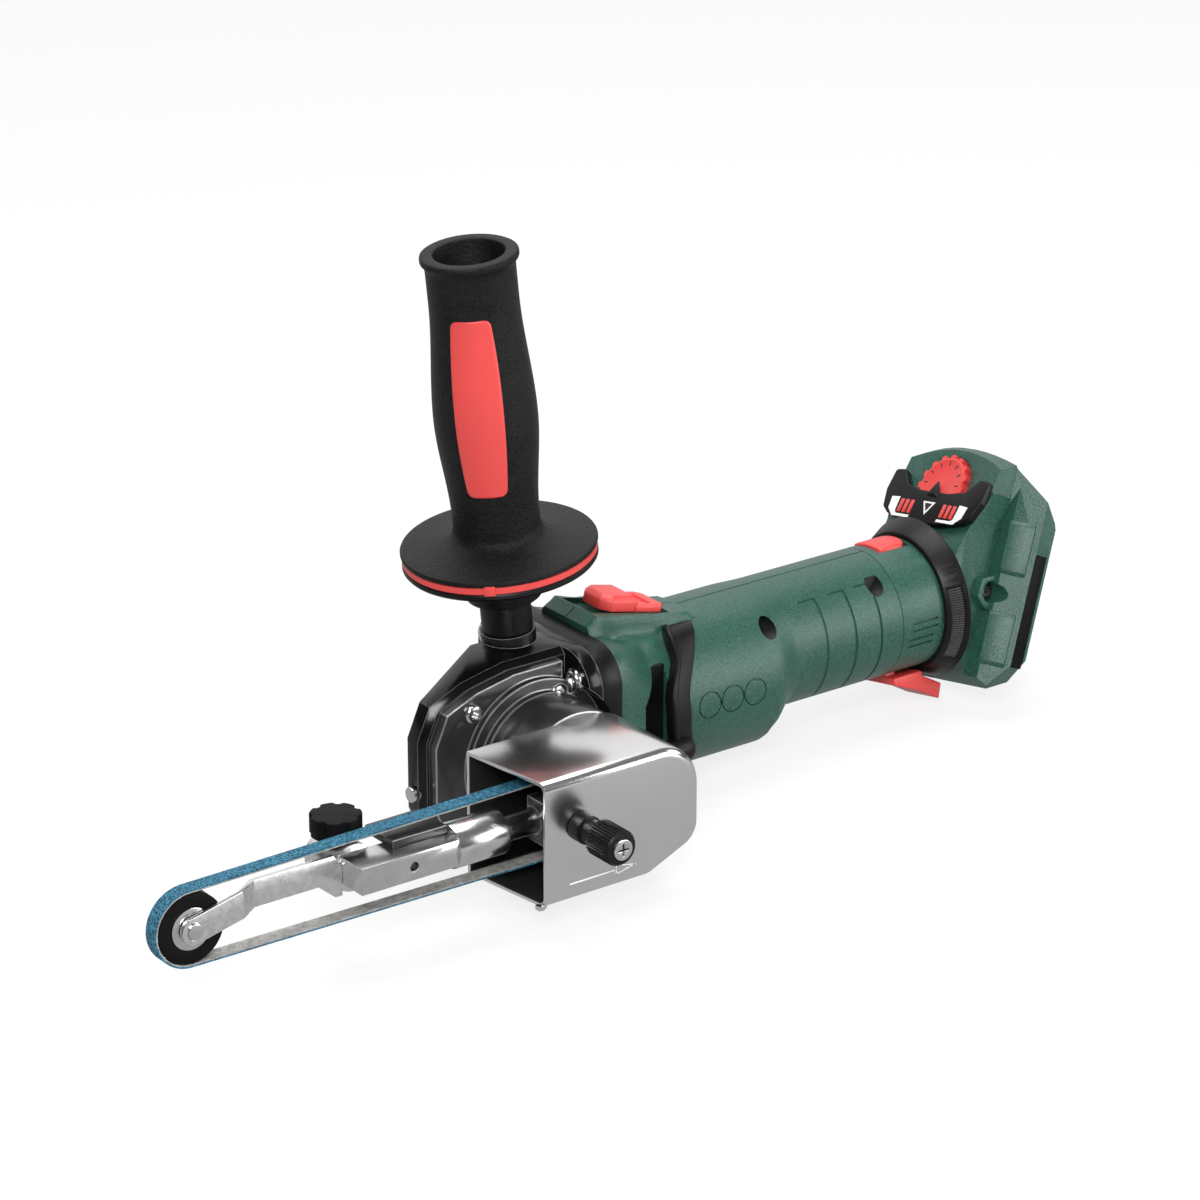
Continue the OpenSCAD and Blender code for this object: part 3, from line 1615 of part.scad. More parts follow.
module handle_grip() {
    color("black") in_frame() on_handle()
        difference() {
            rotate_extrude()
                polygon(concat(
                    [[stud_r + seat, flange_rise + damper_h], [hand_flange_r, flange_rise + damper_h],
                        [hand_flange_r, disc_top - rim_h / 3], [hand_flange_r - rim_h / 3, disc_top]],
                    grip_wall(0),
                    [[grip_top_r, disc_top + lip_share * handle_len], [lip_r, grip_crown - lip_h + lip_edge],
                        [lip_r, grip_crown - lip_edge], [lip_r - lip_edge, grip_crown],
                        [hollow_r, grip_crown], [hollow_r, grip_crown - hollow_deep],
                        [stud_r + seat, grip_crown - hollow_deep]]
                ));
            intersection() {
                inlay_skin(-inlay_deep, over);
                inlay_window(seat);
            }
        }
}

module handle_inlay() {
    color("tomato") in_frame() on_handle()
        intersection() {
            inlay_skin(-inlay_deep + seat, inlay_proud);
            inlay_window(0);
        }
}

module damper_ring() {
    color("tomato") in_frame() on_handle()
        translate([0, 0, flange_rise]) tube(hand_flange_r - damper_inset, damper_in_r, damper_h);
}

module handle_base() {
    low = handle_boss_h + seat;
    color("black") in_frame() on_handle()
        rotate_extrude()
            polygon([
                [stud_r + seat, low], [sleeve_r, low], [sleeve_r, low + sleeve_h],
                [collar_low_r, low + sleeve_h],
                [collar_high_r, flange_rise - base_t], [hand_flange_r - base_t, flange_rise - base_t],
                [hand_flange_r - damper_inset, flange_rise], [damper_in_r - seat, flange_rise],
                [damper_in_r - seat, flange_rise + damper_h], [stud_r + seat, flange_rise + damper_h]
            ]);
}

module handle_stud() {
    color("silver") in_frame() on_handle()
        translate([0, 0, -m8_deep + over]) cylinder(r = stud_r, h = stud_top + m8_deep - over);
}

motor_shell_left();
motor_shell_right();
foot_shell_left();
foot_shell_right();
shell_screws();
foot_screw();
air_deflector_left();
air_deflector_right();
motor_flange();
gear_housing();
gear_cover();
cover_screws();
head_screws();
grease_plug();
rotor();
stator();
cooling_fan();
pinion();
rotor_bearings();
spindle();
crown_gear();
spindle_bearings();
drive_pulley();
pulley_screw();
belt_guard();
guard_collar();
tension_bracket();
tension_rod();
tracking_knob();
tracking_screw();
tension_tube();
tension_spring();
arm_bar();
backing_plate();
belt_arm();
clamp_boss();
clamp_knob();
roller_pin();
roller_bearing();
contact_roller();
sanding_belt();
slide_switch();
switch_unit();
speed_dial();
indicator_panel();
indicator_lights();
control_board();
lock_button();
lock_lever();
lever_pin();
dust_filter_frame();
dust_filter_mesh();
terminal_block();
contact_blades();
rail_strips();
handle_grip();
handle_inlay();
damper_ring();
handle_base();
handle_stud();
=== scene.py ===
"""Looks of a battery power file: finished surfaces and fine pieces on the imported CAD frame."""

import json
import math

import bmesh
import bpy
from mathutils import Matrix, Vector


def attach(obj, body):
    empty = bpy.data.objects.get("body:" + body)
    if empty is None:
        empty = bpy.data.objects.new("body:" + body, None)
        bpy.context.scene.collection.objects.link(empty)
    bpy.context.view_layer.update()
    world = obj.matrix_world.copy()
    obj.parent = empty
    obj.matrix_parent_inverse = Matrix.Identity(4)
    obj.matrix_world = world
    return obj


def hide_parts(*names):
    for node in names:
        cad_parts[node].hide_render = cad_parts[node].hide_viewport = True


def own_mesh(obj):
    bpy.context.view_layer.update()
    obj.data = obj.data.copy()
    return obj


bl_info = {
    "name": "Power File Looks",
    "version": (1, 0, 0),
    "blender": (4, 5, 0),
    "location": "3D View > Sidebar > Power File",
    "description": "Builds the visible pieces, surfaces and stage of a power file on its CAD frame",
    "category": "Object",
}

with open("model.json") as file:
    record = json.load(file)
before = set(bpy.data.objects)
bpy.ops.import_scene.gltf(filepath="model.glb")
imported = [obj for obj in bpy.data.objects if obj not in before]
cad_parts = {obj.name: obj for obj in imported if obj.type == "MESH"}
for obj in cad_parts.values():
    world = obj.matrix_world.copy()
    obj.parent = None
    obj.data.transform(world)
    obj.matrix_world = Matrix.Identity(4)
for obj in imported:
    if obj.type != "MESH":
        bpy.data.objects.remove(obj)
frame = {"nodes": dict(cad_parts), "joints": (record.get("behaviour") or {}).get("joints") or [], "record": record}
JOINTS = {j["name"]: j for j in frame["joints"]}
NODE_SLOTS = {s["node"]: s["material_slot"] for s in frame["record"]["subparts"]}

MM = 0.001


def shift(x, y, z):
    return Matrix.Translation((x, y, z))


def turned(axis, degrees):
    return Matrix.Rotation(math.radians(degrees), 4, axis)


def tilted(base, x, z, degrees):
    """A frame on the middle plane of another, tilted about its cross axis."""
    return base @ shift(x, 0, z) @ turned("Y", degrees)


# Frames of the object's places, each from millimetres to the row frame
SPINDLE, MOTOR = JOINTS["spindle_spin"]["pos_m"], JOINTS["motor_spin"]["pos_m"]
BASE = shift(SPINDLE[0], MOTOR[1], MOTOR[2]) @ Matrix.Scale(MM, 4)  # where the spindle crosses the motor axis
GRIP_RISE = 5.5  # of the grip's axis above the motor axis
FOOT = BASE @ shift(0, 0, GRIP_RISE) @ turned("X", -11)  # turned on the grip, as the photo shows it
FOOT_ZERO = FOOT @ shift(0, 0, -GRIP_RISE)
FACE = tilted(FOOT_ZERO, 210, 23.7, -50.04)  # the foot's sloping face, with dial and panel
RAIL = tilted(FOOT_ZERO, 225.4, -30, 24.3)  # the foot's back, with the battery rails
HUMP = tilted(BASE, 33.5, 44, 13.5)  # the switch's slope
HANDLE = tilted(BASE, 6.8, 40, -6)  # the side handle's axis
DIAL_PLACE = 30  # the dial's axis, along FACE
NEAR = turned("X", 90)  # local z points out of the near side
REAR = turned("Y", 90)  # local z points to the rear


# Meshes as (points, faces), in millimetres


def turns(steps):
    """Angles of a full turn in equal steps."""
    return [2 * math.pi * i / steps for i in range(steps)]


def loft(rings, closed=False):
    """Rings of equal length joined in order, with both ends capped, or joined to each other where closed."""
    n, rows = len(rings[0]), len(rings)
    points = [p for ring in rings for p in ring]
    faces = [] if closed else [tuple(range(n))[::-1], tuple(range((rows - 1) * n, rows * n))]
    for j in range(rows if closed else rows - 1):
        k = (j + 1) % rows
        faces += [(j * n + i, j * n + (i + 1) % n, k * n + (i + 1) % n, k * n + i) for i in range(n)]
    return points, faces


def lathe(profile, steps, closed=False):
    """A profile of (radius, height) turned about local z, with its ends capped unless it is a closed ring."""
    rings = [[(r * math.cos(a), r * math.sin(a), h) for a in turns(steps)] for r, h in profile]
    return loft(rings, closed)


def prism(outline, low, high):
    """A flat outline of (x, y) points raised from low to high along local z."""
    return loft([[(x, y, z) for x, y in outline] for z in (low, high)])


def block(x0, x1, y0, y1, z0, z1):
    return prism([(x0, y0), (x1, y0), (x1, y1), (x0, y1)], z0, z1)


def moved(mesh, matrix):
    points, faces = mesh
    return [tuple(matrix @ Vector(p)) for p in points], faces


def joined(*meshes):
    points, faces = [], []
    for p, f in meshes:
        base = len(points)
        points += p
        faces += [tuple(i + base for i in face) for face in f]
    return points, faces


def rounded(corners, radius, steps):
    """A flat outline with its corners turned into arcs, of one radius or of a list with one for each."""
    out = []
    n = len(corners)
    radii = radius if isinstance(radius, list) else [radius] * n
    most = 0.45  # the share of a side that one arc may take
    for i in range(n):
        p = Vector(corners[i])
        if radii[i] == 0:
            out.append(tuple(p))
            continue
        before, after = Vector(corners[i - 1]) - p, Vector(corners[(i + 1) % n]) - p
        a, b = before.normalized(), after.normalized()
        half = a.angle(b) / 2
        reach = min(radii[i] / math.tan(half), most * before.length, most * after.length)
        r = reach * math.tan(half)
        centre = p + (a + b).normalized() * (r / math.sin(half))
        start, end = p + a * reach - centre, p + b * reach - centre
        turn = start.angle_signed(end)
        for k in range(steps + 1):
            out.append(tuple(centre + Matrix.Rotation(-turn * k / steps, 2) @ start))
    return out


def ease(a, b, t):
    t = min(max(t, 0.0), 1.0)
    return a + (b - a) * t * t * (3 - 2 * t)


def soft_max(a, b, k):
    h = max(k - abs(a - b), 0.0) / k
    return max(a, b) + h * h * k / 4


def soft_min(a, b, k):
    return -soft_max(-a, -b, k)


# Objects


def clean(mesh):
    """Merge doubles and turn every face outward."""
    bm = bmesh.new()
    bm.from_mesh(mesh)
    bmesh.ops.remove_doubles(bm, verts=bm.verts, dist=1e-7)
    bmesh.ops.recalc_face_normals(bm, faces=bm.faces)
    bm.to_mesh(mesh)
    bm.free()


def baked(obj):
    """Turn an object's modifiers into its plain mesh."""
    bpy.context.view_layer.update()
    result = obj.evaluated_get(bpy.context.evaluated_depsgraph_get())
    mesh = bpy.data.meshes.new_from_object(result)
    obj.modifiers.clear()
    old = obj.data
    obj.data = mesh
    bpy.data.meshes.remove(old)
    return obj


def new_object(name, mesh, matrix):
    points, faces = moved(mesh, matrix)
    data = bpy.data.meshes.new(name)
    data.from_pydata(points, [], faces)
    clean(data)
    obj = bpy.data.objects.new(name, data)
    bpy.context.scene.collection.objects.link(obj)
    return obj


def drop(obj):
    """Remove a helper object and its mesh."""
    data = obj.data
    bpy.data.objects.remove(obj)
    bpy.data.meshes.remove(data)


def paint(obj, *names):
    """Add surfaces to an object's mesh, the first as its main one."""
    for name in names:
        obj.data.materials.append(MATERIALS[name])


def bevel(obj, width, segments=2, angle=32):
    """Round every edge sharper than the angle, by a width in millimetres."""
    if width > 0:
        m = obj.modifiers.new("Edges", "BEVEL")
        m.width = width * MM
        m.segments = segments
        m.limit_method = "ANGLE"
        m.angle_limit = math.radians(angle)
        m.use_clamp_overlap = True
        m.miter_outer = "MITER_ARC"
        baked(obj)
    return obj


def cut(obj, mesh, matrix, inside=None):
    """Take a solid out of an object, with another surface inside the cut where one is named."""
    tool = new_object("cutter", mesh, matrix)
    if inside:
        paint(tool, inside)
    m = obj.modifiers.new("Cut", "BOOLEAN")
    m.operation = "DIFFERENCE"
    m.solver = "EXACT"
    m.object = tool
    baked(obj)
    drop(tool)
    return obj


def finish_piece(obj, material, body, replaced=(), angle=35):
    """Shade a piece, give it its surface and hang it on its body."""
    clean(obj.data)
    if not obj.data.materials:
        paint(obj, material)
    obj.data.shade_smooth()
    obj.data.set_sharp_from_angle(angle=math.radians(angle))
    if replaced:
        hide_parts(*replaced)
    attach(obj, body)
    return obj


def piece(name, mesh, matrix, material, body, replaced=(), edge=0.0, angle=35):
    obj = bevel(new_object(name, mesh, matrix), edge)
    return finish_piece(obj, material, body, replaced, angle)


def cad_copy(name, node):
    """A welded copy of a CAD node, with its flat faces made whole."""
    weld, flat = 2e-6, math.radians(0.4)
    bm = bmesh.new()
    bm.from_mesh(frame["nodes"][node].data)
    bmesh.ops.remove_doubles(bm, verts=bm.verts, dist=weld)
    bmesh.ops.dissolve_limit(bm, angle_limit=flat, verts=bm.verts, edges=bm.edges, delimit={"NORMAL"})
    bmesh.ops.recalc_face_normals(bm, faces=bm.faces)
    bm.verts.index_update()
    points = [tuple(v.co) for v in bm.verts]
    faces = [tuple(v.index for v in f.verts) for f in bm.faces]
    bm.free()
    return new_object(name, (points, faces), Matrix.Identity(4))


def dressed(name, node, body, edge, material=None, segments=2):
    """A CAD node with rounded edges and a finished surface."""
    slot = NODE_SLOTS[node]
    obj = bevel(cad_copy(name, node), edge, segments)
    return finish_piece(obj, material or slot, body, (node,))


# Node trees


def feed(tree, node, inputs):
    """Give a node's inputs their values, or the links that are written as (node, output)."""
    for key, value in inputs.items():
        if isinstance(value, tuple) and isinstance(value[0], bpy.types.Node):
            tree.links.new(value[0].outputs[value[1]], node.inputs[key])
        else:
            node.inputs[key].default_value = value


def add(tree, kind, inputs=None, **props):
    """A new node with its settings and then its inputs."""
    node = tree.nodes.new(kind)
    for key, value in props.items():
        setattr(node, key, value)
    feed(tree, node, inputs or {})
    return node


def new_group(name, kind, inputs, outputs):
    """A node group with its sockets given as label and type."""
    group = bpy.data.node_groups.new(name, kind)
    for way, sockets in (("INPUT", inputs), ("OUTPUT", outputs)):
        for label, given in sockets.items():
            group.interface.new_socket(label, in_out=way, socket_type=f"NodeSocket{given}")
    return group, group.nodes.new("NodeGroupInput"), group.nodes.new("NodeGroupOutput")


def copies_tree(name, inputs):
    """A tree that sets copies of one piece on points and paints them, with points and turns still to feed."""
    shape = {"Geometry": "Geometry"}
    unit = {"Piece": "Object", "Material": "Material"}
    tree, given, out = new_group(name, "GeometryNodeTree", {**shape, **unit, **inputs}, shape)
    source = add(tree, "GeometryNodeObjectInfo", {"Object": (given, "Piece")})
    place = add(tree, "GeometryNodeInstanceOnPoints", {"Instance": (source, "Geometry")})
    real = add(tree, "GeometryNodeRealizeInstances", {"Geometry": (place, "Instances")})
    coat = {"Geometry": (real, "Geometry"), "Material": (given, "Material")}
    feed(tree, out, {"Geometry": (add(tree, "GeometryNodeSetMaterial", coat), "Geometry")})
    return tree, given, place


def ring_tree():
    """Copies of one piece on a circle about local z, each turned to face outward."""
    name = "Ring of pieces"
    if name in bpy.data.node_groups:
        return bpy.data.node_groups[name]
    tree, given, place = copies_tree(name, {"Count": "Int", "Radius": "Float"})
    size = {"Vertices": (given, "Count"), "Radius": (given, "Radius")}
    circle = add(tree, "GeometryNodeMeshCircle", size)
    index = add(tree, "GeometryNodeInputIndex")
    share = add(tree, "ShaderNodeMath", {0: (index, 0), 1: (given, "Count")}, operation="DIVIDE")
    turn = add(tree, "ShaderNodeMath", {0: (share, 0), 1: 2 * math.pi}, operation="MULTIPLY")
    spin = add(tree, "ShaderNodeCombineXYZ", {"Z": (turn, 0)})
    feed(tree, place, {"Points": (circle, "Mesh"), "Rotation": (spin, 0)})
    return tree


def points_tree():
    """Copies of one piece on the points of the host mesh, all turned the same way."""
    tree, given, place = copies_tree("Pieces on points", {"Turn": "Vector"})
    feed(tree, place, {"Points": (given, "Geometry"), "Rotation": (given, "Turn")})
    return tree


def grown(name, tree, host, unit, values, material, matrix):
    """Run a tree on a host's points with a unit piece, and return the plain mesh object in place."""
    one = new_object(name + "_unit", unit, Matrix.Identity(4))
    obj = bpy.data.objects.new(name, bpy.data.meshes.new(name))
    bpy.context.scene.collection.objects.link(obj)
    obj.data.from_pydata(host, [], [])
    m = obj.modifiers.new("Copies", "NODES")
    m.node_group = tree
    keys = {s.name: s.identifier for s in tree.interface.items_tree if s.in_out == "INPUT"}
    for label, value in {"Piece": one, "Material": MATERIALS[material], **values}.items():
        m[keys[label]] = value
    baked(obj)
    drop(one)
    obj.data.transform(matrix)
    return obj


def ring_of(name, unit, count, radius, material, matrix):
    return grown(name, ring_tree(), [], unit, {"Count": count, "Radius": radius}, material, matrix)


# Surfaces


def grain_group():
    """Fine moulded or cast grain, as a bump."""
    inputs = {"Scale": "Float", "Strength": "Float", "Depth": "Float"}
    g, given, out = new_group("Grain", "ShaderNodeTree", inputs, {"Normal": "Vector"})
    where = add(g, "ShaderNodeTexCoord")
    grain = {"Vector": (where, "Object"), "Scale": (given, "Scale"), "Detail": 5.0, "Roughness": 0.62}
    noise = add(g, "ShaderNodeTexNoise", grain)
    relief = {"Height": (noise, "Fac"), "Strength": (given, "Strength"), "Distance": (given, "Depth")}
    feed(g, out, {"Normal": (add(g, "ShaderNodeBump", relief), "Normal")})
    return g


def mottle_group():
    """Two colours and two roughnesses mixed in soft patches and fine specks."""
    amounts = ("Scale", "Specks", "Speck amount", "Patch amount", "Rough low", "Rough high")
    inputs = {"Color": "Color", "Second": "Color", **dict.fromkeys(amounts, "Float")}
    g, given, out = new_group("Mottle", "ShaderNodeTree", inputs, {"Color": "Color", "Roughness": "Float"})
    place = (add(g, "ShaderNodeTexCoord"), "Object")
    patch = add(g, "ShaderNodeTexNoise", {"Vector": place, "Scale": (given, "Scale"), "Detail": 4.0})
    speck = add(g, "ShaderNodeTexNoise", {"Vector": place, "Scale": (given, "Specks"), "Detail": 2.0})
    sharp = add(g, "ShaderNodeMapRange", {"Value": (speck, "Fac"), "From Min": 0.42, "From Max": 0.62})
    weigh = add(g, "ShaderNodeMath", {0: (sharp, "Result"), 1: (given, "Speck amount")}, operation="MULTIPLY")
    soft = {"Value": (patch, "Fac"), "From Min": 0.3, "From Max": 0.7, "To Max": (given, "Patch amount")}
    half = add(g, "ShaderNodeMapRange", soft)
    total = add(g, "ShaderNodeMath", {0: (weigh, 0), 1: (half, "Result")}, operation="ADD", use_clamp=True)
    colours = {"Factor": (total, 0), "A": (given, "Color"), "B": (given, "Second")}
    mix = add(g, "ShaderNodeMix", colours, data_type="RGBA")
    ends = {"Value": (patch, "Fac"), "To Min": (given, "Rough low"), "To Max": (given, "Rough high")}
    rough = add(g, "ShaderNodeMapRange", ends)
    feed(g, out, {"Color": (mix, "Result"), "Roughness": (rough, "Result")})
    return g


def wear_group():
    """Lighter edges, found by rounding the normal over a small reach: rubbed wear on some surfaces, a painted
    highlight on others.
    """
    inputs = {"Color": "Color", "Edge": "Color", "Reach": "Float", "Amount": "Float"}
    g, given, out = new_group("Edge wear", "ShaderNodeTree", inputs, {"Color": "Color"})
    smooth = add(g, "ShaderNodeBevel", {"Radius": (given, "Reach")}, samples=4)
    normals = {0: (smooth, "Normal"), 1: (add(g, "ShaderNodeNewGeometry"), "Normal")}
    dot = add(g, "ShaderNodeVectorMath", normals, operation="DOT_PRODUCT")
    edge = add(g, "ShaderNodeMapRange", {"Value": (dot, "Value"), "From Min": 0.999, "From Max": 0.9})
    scale = add(g, "ShaderNodeMath", {0: (edge, "Result"), 1: (given, "Amount")}, operation="MULTIPLY")
    colours = {"Factor": (scale, 0), "A": (given, "Color"), "B": (given, "Edge")}
    feed(g, out, {"Color": (add(g, "ShaderNodeMix", colours, data_type="RGBA"), "Result")})
    return g


MATERIALS = {}
GROUPS = {}


def surface(
    name, color, second, rough, metal=0.0, patch=60.0, patch_amount=0.6, specks=2500.0, speck_amount=0.3,
    grain=(1200.0, 0.2, 0.0002), wear=None, coat=0.0, specular=0.5,
):
    """A finished material: mottled colour, grained bump and, where given, lighter edges, which are wear on some
    surfaces and a painted highlight on others.
    """
    m = bpy.data.materials.new(name)
    m.use_nodes = True
    t = m.node_tree
    bsdf = t.nodes["Principled BSDF"]

    def group(kind, **inputs):
        values = {key.replace("_", " "): value for key, value in inputs.items()}
        return add(t, "ShaderNodeGroup", values, node_tree=GROUPS[kind])

    mottle = group(
        "mottle", Color=(*color, 1), Second=(*second, 1), Scale=patch, Specks=specks,
        Speck_amount=speck_amount, Patch_amount=patch_amount, Rough_low=rough[0], Rough_high=rough[1],
    )
    bump = group("grain", Scale=grain[0], Strength=grain[1], Depth=grain[2])
    last = mottle
    if wear:
        last = group("wear", Color=(mottle, "Color"), Edge=(*wear[0], 1), Reach=wear[1], Amount=wear[2])
    feed(t, bsdf, {
        "Base Color": (last, "Color"),
        "Roughness": (mottle, "Roughness"),
        "Normal": (bump, "Normal"),
        "Metallic": metal,
        "Specular IOR Level": specular,
        "Coat Weight": coat,
        "Coat Roughness": 0.15,
    })
    MATERIALS[name] = m


def make_materials(look):
    GROUPS.update(grain=grain_group(), mottle=mottle_group(), wear=wear_group())
    green = tuple(look.green)
    red = tuple(look.red)
    surface(
        "green_shell", tuple(0.7 * c for c in green), tuple(2.0 * c for c in green), (0.28, 0.38), patch=25.0,
        patch_amount=0.1, specks=1800.0, speck_amount=0.65, grain=(1700.0, 0.5, 0.00035),
    )
    surface(
        "red_plastic", red, tuple(0.86 * c for c in red), (0.34, 0.46), patch=40.0,
        grain=(2000.0, 0.1, 0.0001),
    )
    surface(
        "black_plastic", (0.0025, 0.0025, 0.003), (0.007, 0.007, 0.0075), (0.32, 0.46),
        grain=(1500.0, 0.3, 0.0002), specular=0.22,
    )
    surface(
        "grip_plastic", (0.002, 0.002, 0.0024), (0.009, 0.009, 0.0095), (0.36, 0.5), patch=90.0,
        specks=1050.0, speck_amount=0.6, grain=(850.0, 0.9, 0.0006), specular=0.17,
    )
    # The black casting's lighter edges are a painted highlight along its rims.
    surface(
        "black_casting", (0.002, 0.002, 0.0024), (0.005, 0.005, 0.0055), (0.14, 0.24),
        grain=(900.0, 0.12, 0.0002), wear=((0.3, 0.3, 0.31), 0.0006, 0.7), specular=0.26,
    )
    # The grey casting's lighter edges are partly bare machined metal and partly a painted highlight.
    surface(
        "grey_casting", (0.05, 0.05, 0.052), (0.09, 0.09, 0.092), (0.2, 0.3), metal=0.7, patch=120.0,
        grain=(1500.0, 0.15, 0.00015), wear=((0.72, 0.72, 0.73), 0.0011, 1.0),
    )
    surface(
        "bright_sheet", (0.8, 0.795, 0.79), (0.7, 0.695, 0.69), (0.16, 0.26), metal=1.0, patch=14.0,
        specks=900.0, speck_amount=0.1, grain=(160.0, 0.03, 0.0002),
    )
    surface(
        "zinc_sheet", (0.68, 0.68, 0.69), (0.92, 0.92, 0.93), (0.22, 0.36), metal=1.0, patch=380.0,
        specks=1500.0, speck_amount=0.4, grain=(700.0, 0.18, 0.0002), wear=((0.9, 0.9, 0.9), 0.0004, 0.5),
    )
    surface(
        "steel", (0.74, 0.74, 0.75), (0.6, 0.6, 0.61), (0.16, 0.28), metal=1.0, patch=180.0,
        grain=(1200.0, 0.08, 0.0001),
    )
    surface(
        "dark_steel", (0.1, 0.1, 0.102), (0.06, 0.06, 0.062), (0.28, 0.42), metal=0.9, patch=140.0,
        grain=(900.0, 0.15, 0.00015), wear=((0.5, 0.5, 0.5), 0.0006, 0.7),
    )
    surface(
        "abrasive", (0.003, 0.04, 0.085), (0.06, 0.25, 0.37), (0.6, 0.9), patch=300.0, patch_amount=0.2,
        specks=1350.0, speck_amount=0.9, grain=(1400.0, 1.0, 0.0009), specular=0.3,
    )
    surface(
        "belt_backing", (0.13, 0.128, 0.122), (0.42, 0.41, 0.39), (0.6, 0.85), patch=420.0, specks=2600.0,
        speck_amount=0.45, grain=(2600.0, 0.5, 0.0003), specular=0.3,
    )
    surface(
        "rubber", (0.0022, 0.0022, 0.0024), (0.006, 0.006, 0.0064), (0.42, 0.6), grain=(1300.0, 0.4, 0.0003),
        specular=0.09,
    )
    surface("copper", (0.75, 0.36, 0.2), (0.6, 0.27, 0.14), (0.25, 0.4), metal=1.0)
    surface("board", (0.02, 0.12, 0.05), (0.015, 0.09, 0.04), (0.35, 0.5))
    surface("mesh", (0.2, 0.2, 0.205), (0.12, 0.12, 0.122), (0.3, 0.45), metal=0.8, patch=400.0)
    surface("contact", (0.8, 0.62, 0.3), (0.66, 0.5, 0.24), (0.2, 0.35), metal=1.0)
    surface(
        "lamp", (0.66, 0.04, 0.035), (0.55, 0.03, 0.03), (0.18, 0.3), coat=0.4, grain=(900.0, 0.02, 0.0001),
    )
    surface("white_print", (0.8, 0.8, 0.79), (0.72, 0.72, 0.71), (0.4, 0.5), grain=(1500.0, 0.05, 0.0001))
    surface("dark_mark", (0.01, 0.01, 0.011), (0.016, 0.016, 0.017), (0.5, 0.7), grain=(1500.0, 0.1, 0.0001))
    for node, obj in frame["nodes"].items():
        for s in obj.material_slots:
            s.material = MATERIALS[NODE_SLOTS[node]]


# Shapes of the larger pieces


def shell_rings(p):
    """Rings of the motor shell from the flange to the foot's seam, in one smooth skin with its grooves."""
    start, end, barrel_end, grip_start, hump_end = 33.5, 180.0, 113.0, 128.0, 86.0
    barrel, grip = p.barrel_radius / MM, p.grip_radius / MM
    rise = barrel - grip
    spacing, around = 1.6, 224
    grooves, groove_half, groove_run, corner = (141.5, 156.1, 169.1), 0.31, 11.5, 0.68
    seam_half, seam_depth, soft = 0.3, 0.9, 5.0
    xs = {start + spacing * i for i in range(int((end - start) / spacing) + 1)} | {end}
    for g in grooves:
        xs |= {g + d for d in (-1.2, -0.75, -0.3, 0.3, 0.75, 1.2)}
    angles = turns(around)
    for d in (-0.9, -0.45, 0.45, 0.9):
        angles += [math.radians(d), math.pi + math.radians(d)]
    angles += [side * corner + d for side in (-1, 1) for d in (-0.02, -0.009, 0.009, 0.02)]
    angles = sorted(a % (2 * math.pi) for a in angles)
    rings = []
    for x in sorted(xs):
        along = x - start
        flare = ease(1.0, 0.0, along / 25.0)
        power = 2 + 3.4 * flare
        step = ease(0.0, 1.0, (x - barrel_end) / (grip_start - barrel_end))
        half_w = barrel - rise * step + (p.flare_half - barrel) * flare
        hump_top = min(39.2 + 0.72 * along, 44.0 - 0.24 * along)
        hump_half = 15.0 - 4.0 * along / 50.0
        ring = []
        for a in angles:
            s, c = math.sin(a), math.cos(a)
            r = ((abs(s) / half_w) ** power + (abs(c) / half_w) ** power) ** (-1 / power)
            if c > 0.3 and x < hump_end:
                side = hump_half / max(abs(s), 1e-4)
                r = soft_max(r, soft_min(hump_top / c, side, soft), soft)
            off = min(a, 2 * math.pi - a)
            # A swelling beside the switch and a hollow before it
            r += 1.6 * math.exp(-(((x - 57) / 6.5) ** 2) - ((off - 0.5) / 0.11) ** 2)
            r -= 2.4 * math.exp(-(((x - 45.5) / 4.5) ** 2) - ((off - 0.44) / 0.12) ** 2)
            if min(off, abs(math.pi - off)) * r < seam_half:
                r -= seam_depth
            for g in grooves:
                if abs(x - g) < groove_half and corner - 0.01 < off < 2.6:
                    r -= 0.7 * ease(1, 0, (off - 2.2) / 0.4)
                elif abs(off - corner) < 0.01 and g - groove_run < x < g + groove_half:
                    r -= 0.6 * ease(0, 1, (x - g + groove_run) / 6)
            ring.append((x, -r * s, rise * step + r * c))
        rings.append(ring)
    return rings


# Heights on the side handle's axis: the top of its hand flange, and from there to its crown
FLANGE_TOP, GRIP_LENGTH = 37.8, 115.6
FLANGE_RADIUS = 37.2


def grip_radius(share):
    """Radius of the side handle's grip at a share of its length."""
    base, bulge, top = 16.4, 19.4, 16.7
    if share < 0.1:
        return base + (FLANGE_RADIUS - 0.77 - base) * (1 - share / 0.1) ** 6
    if share < 0.44:
        return ease(base, bulge, (share - 0.1) / 0.34)
    return ease(bulge, top, (share - 0.44) / 0.4)


def handle_profile():
    """Half section of the grip: hand flange, curved grip, crown and the hollow inside."""
    stud, low, crown = 4.1, 35.5, FLANGE_TOP + GRIP_LENGTH
    flange = [(36.4, low), (37.0, low + 0.25), (FLANGE_RADIUS, low + 0.8)]
    flange += [(FLANGE_RADIUS, FLANGE_TOP - 0.8), (36.9, FLANGE_TOP - 0.25)]
    shares = [0.002 * i for i in range(1, 50)] + [0.1 + 0.0125 * i for i in range(68)]
    grip = [(grip_radius(u), FLANGE_TOP + u * GRIP_LENGTH) for u in shares]
    top = [(16.75, 5.2), (17.0, 4.2), (17.6, 3.3), (18.1, 2.7), (18.3, 2.2), (18.3, 0.9), (18.1, 0.35)]
    top += [(17.5, 0), (14.0, 0), (13.4, 0.3), (13.1, 1.0), (12.9, 58.0), (12.2, 60.0), (stud, 60.0)]
    return [(stud, low), *flange, *grip, *((r, crown - below) for r, below in top)]


def sheet_faces(rows, columns, base=0):
    """Faces of a sheet of points in rows, with the number of its first point."""
    faces = []
    for j in range(rows - 1):
        for i in range(columns - 1):
            a = base + j * columns + i
            faces.append((a, a + 1, a + columns + 1, a + columns))
    return faces


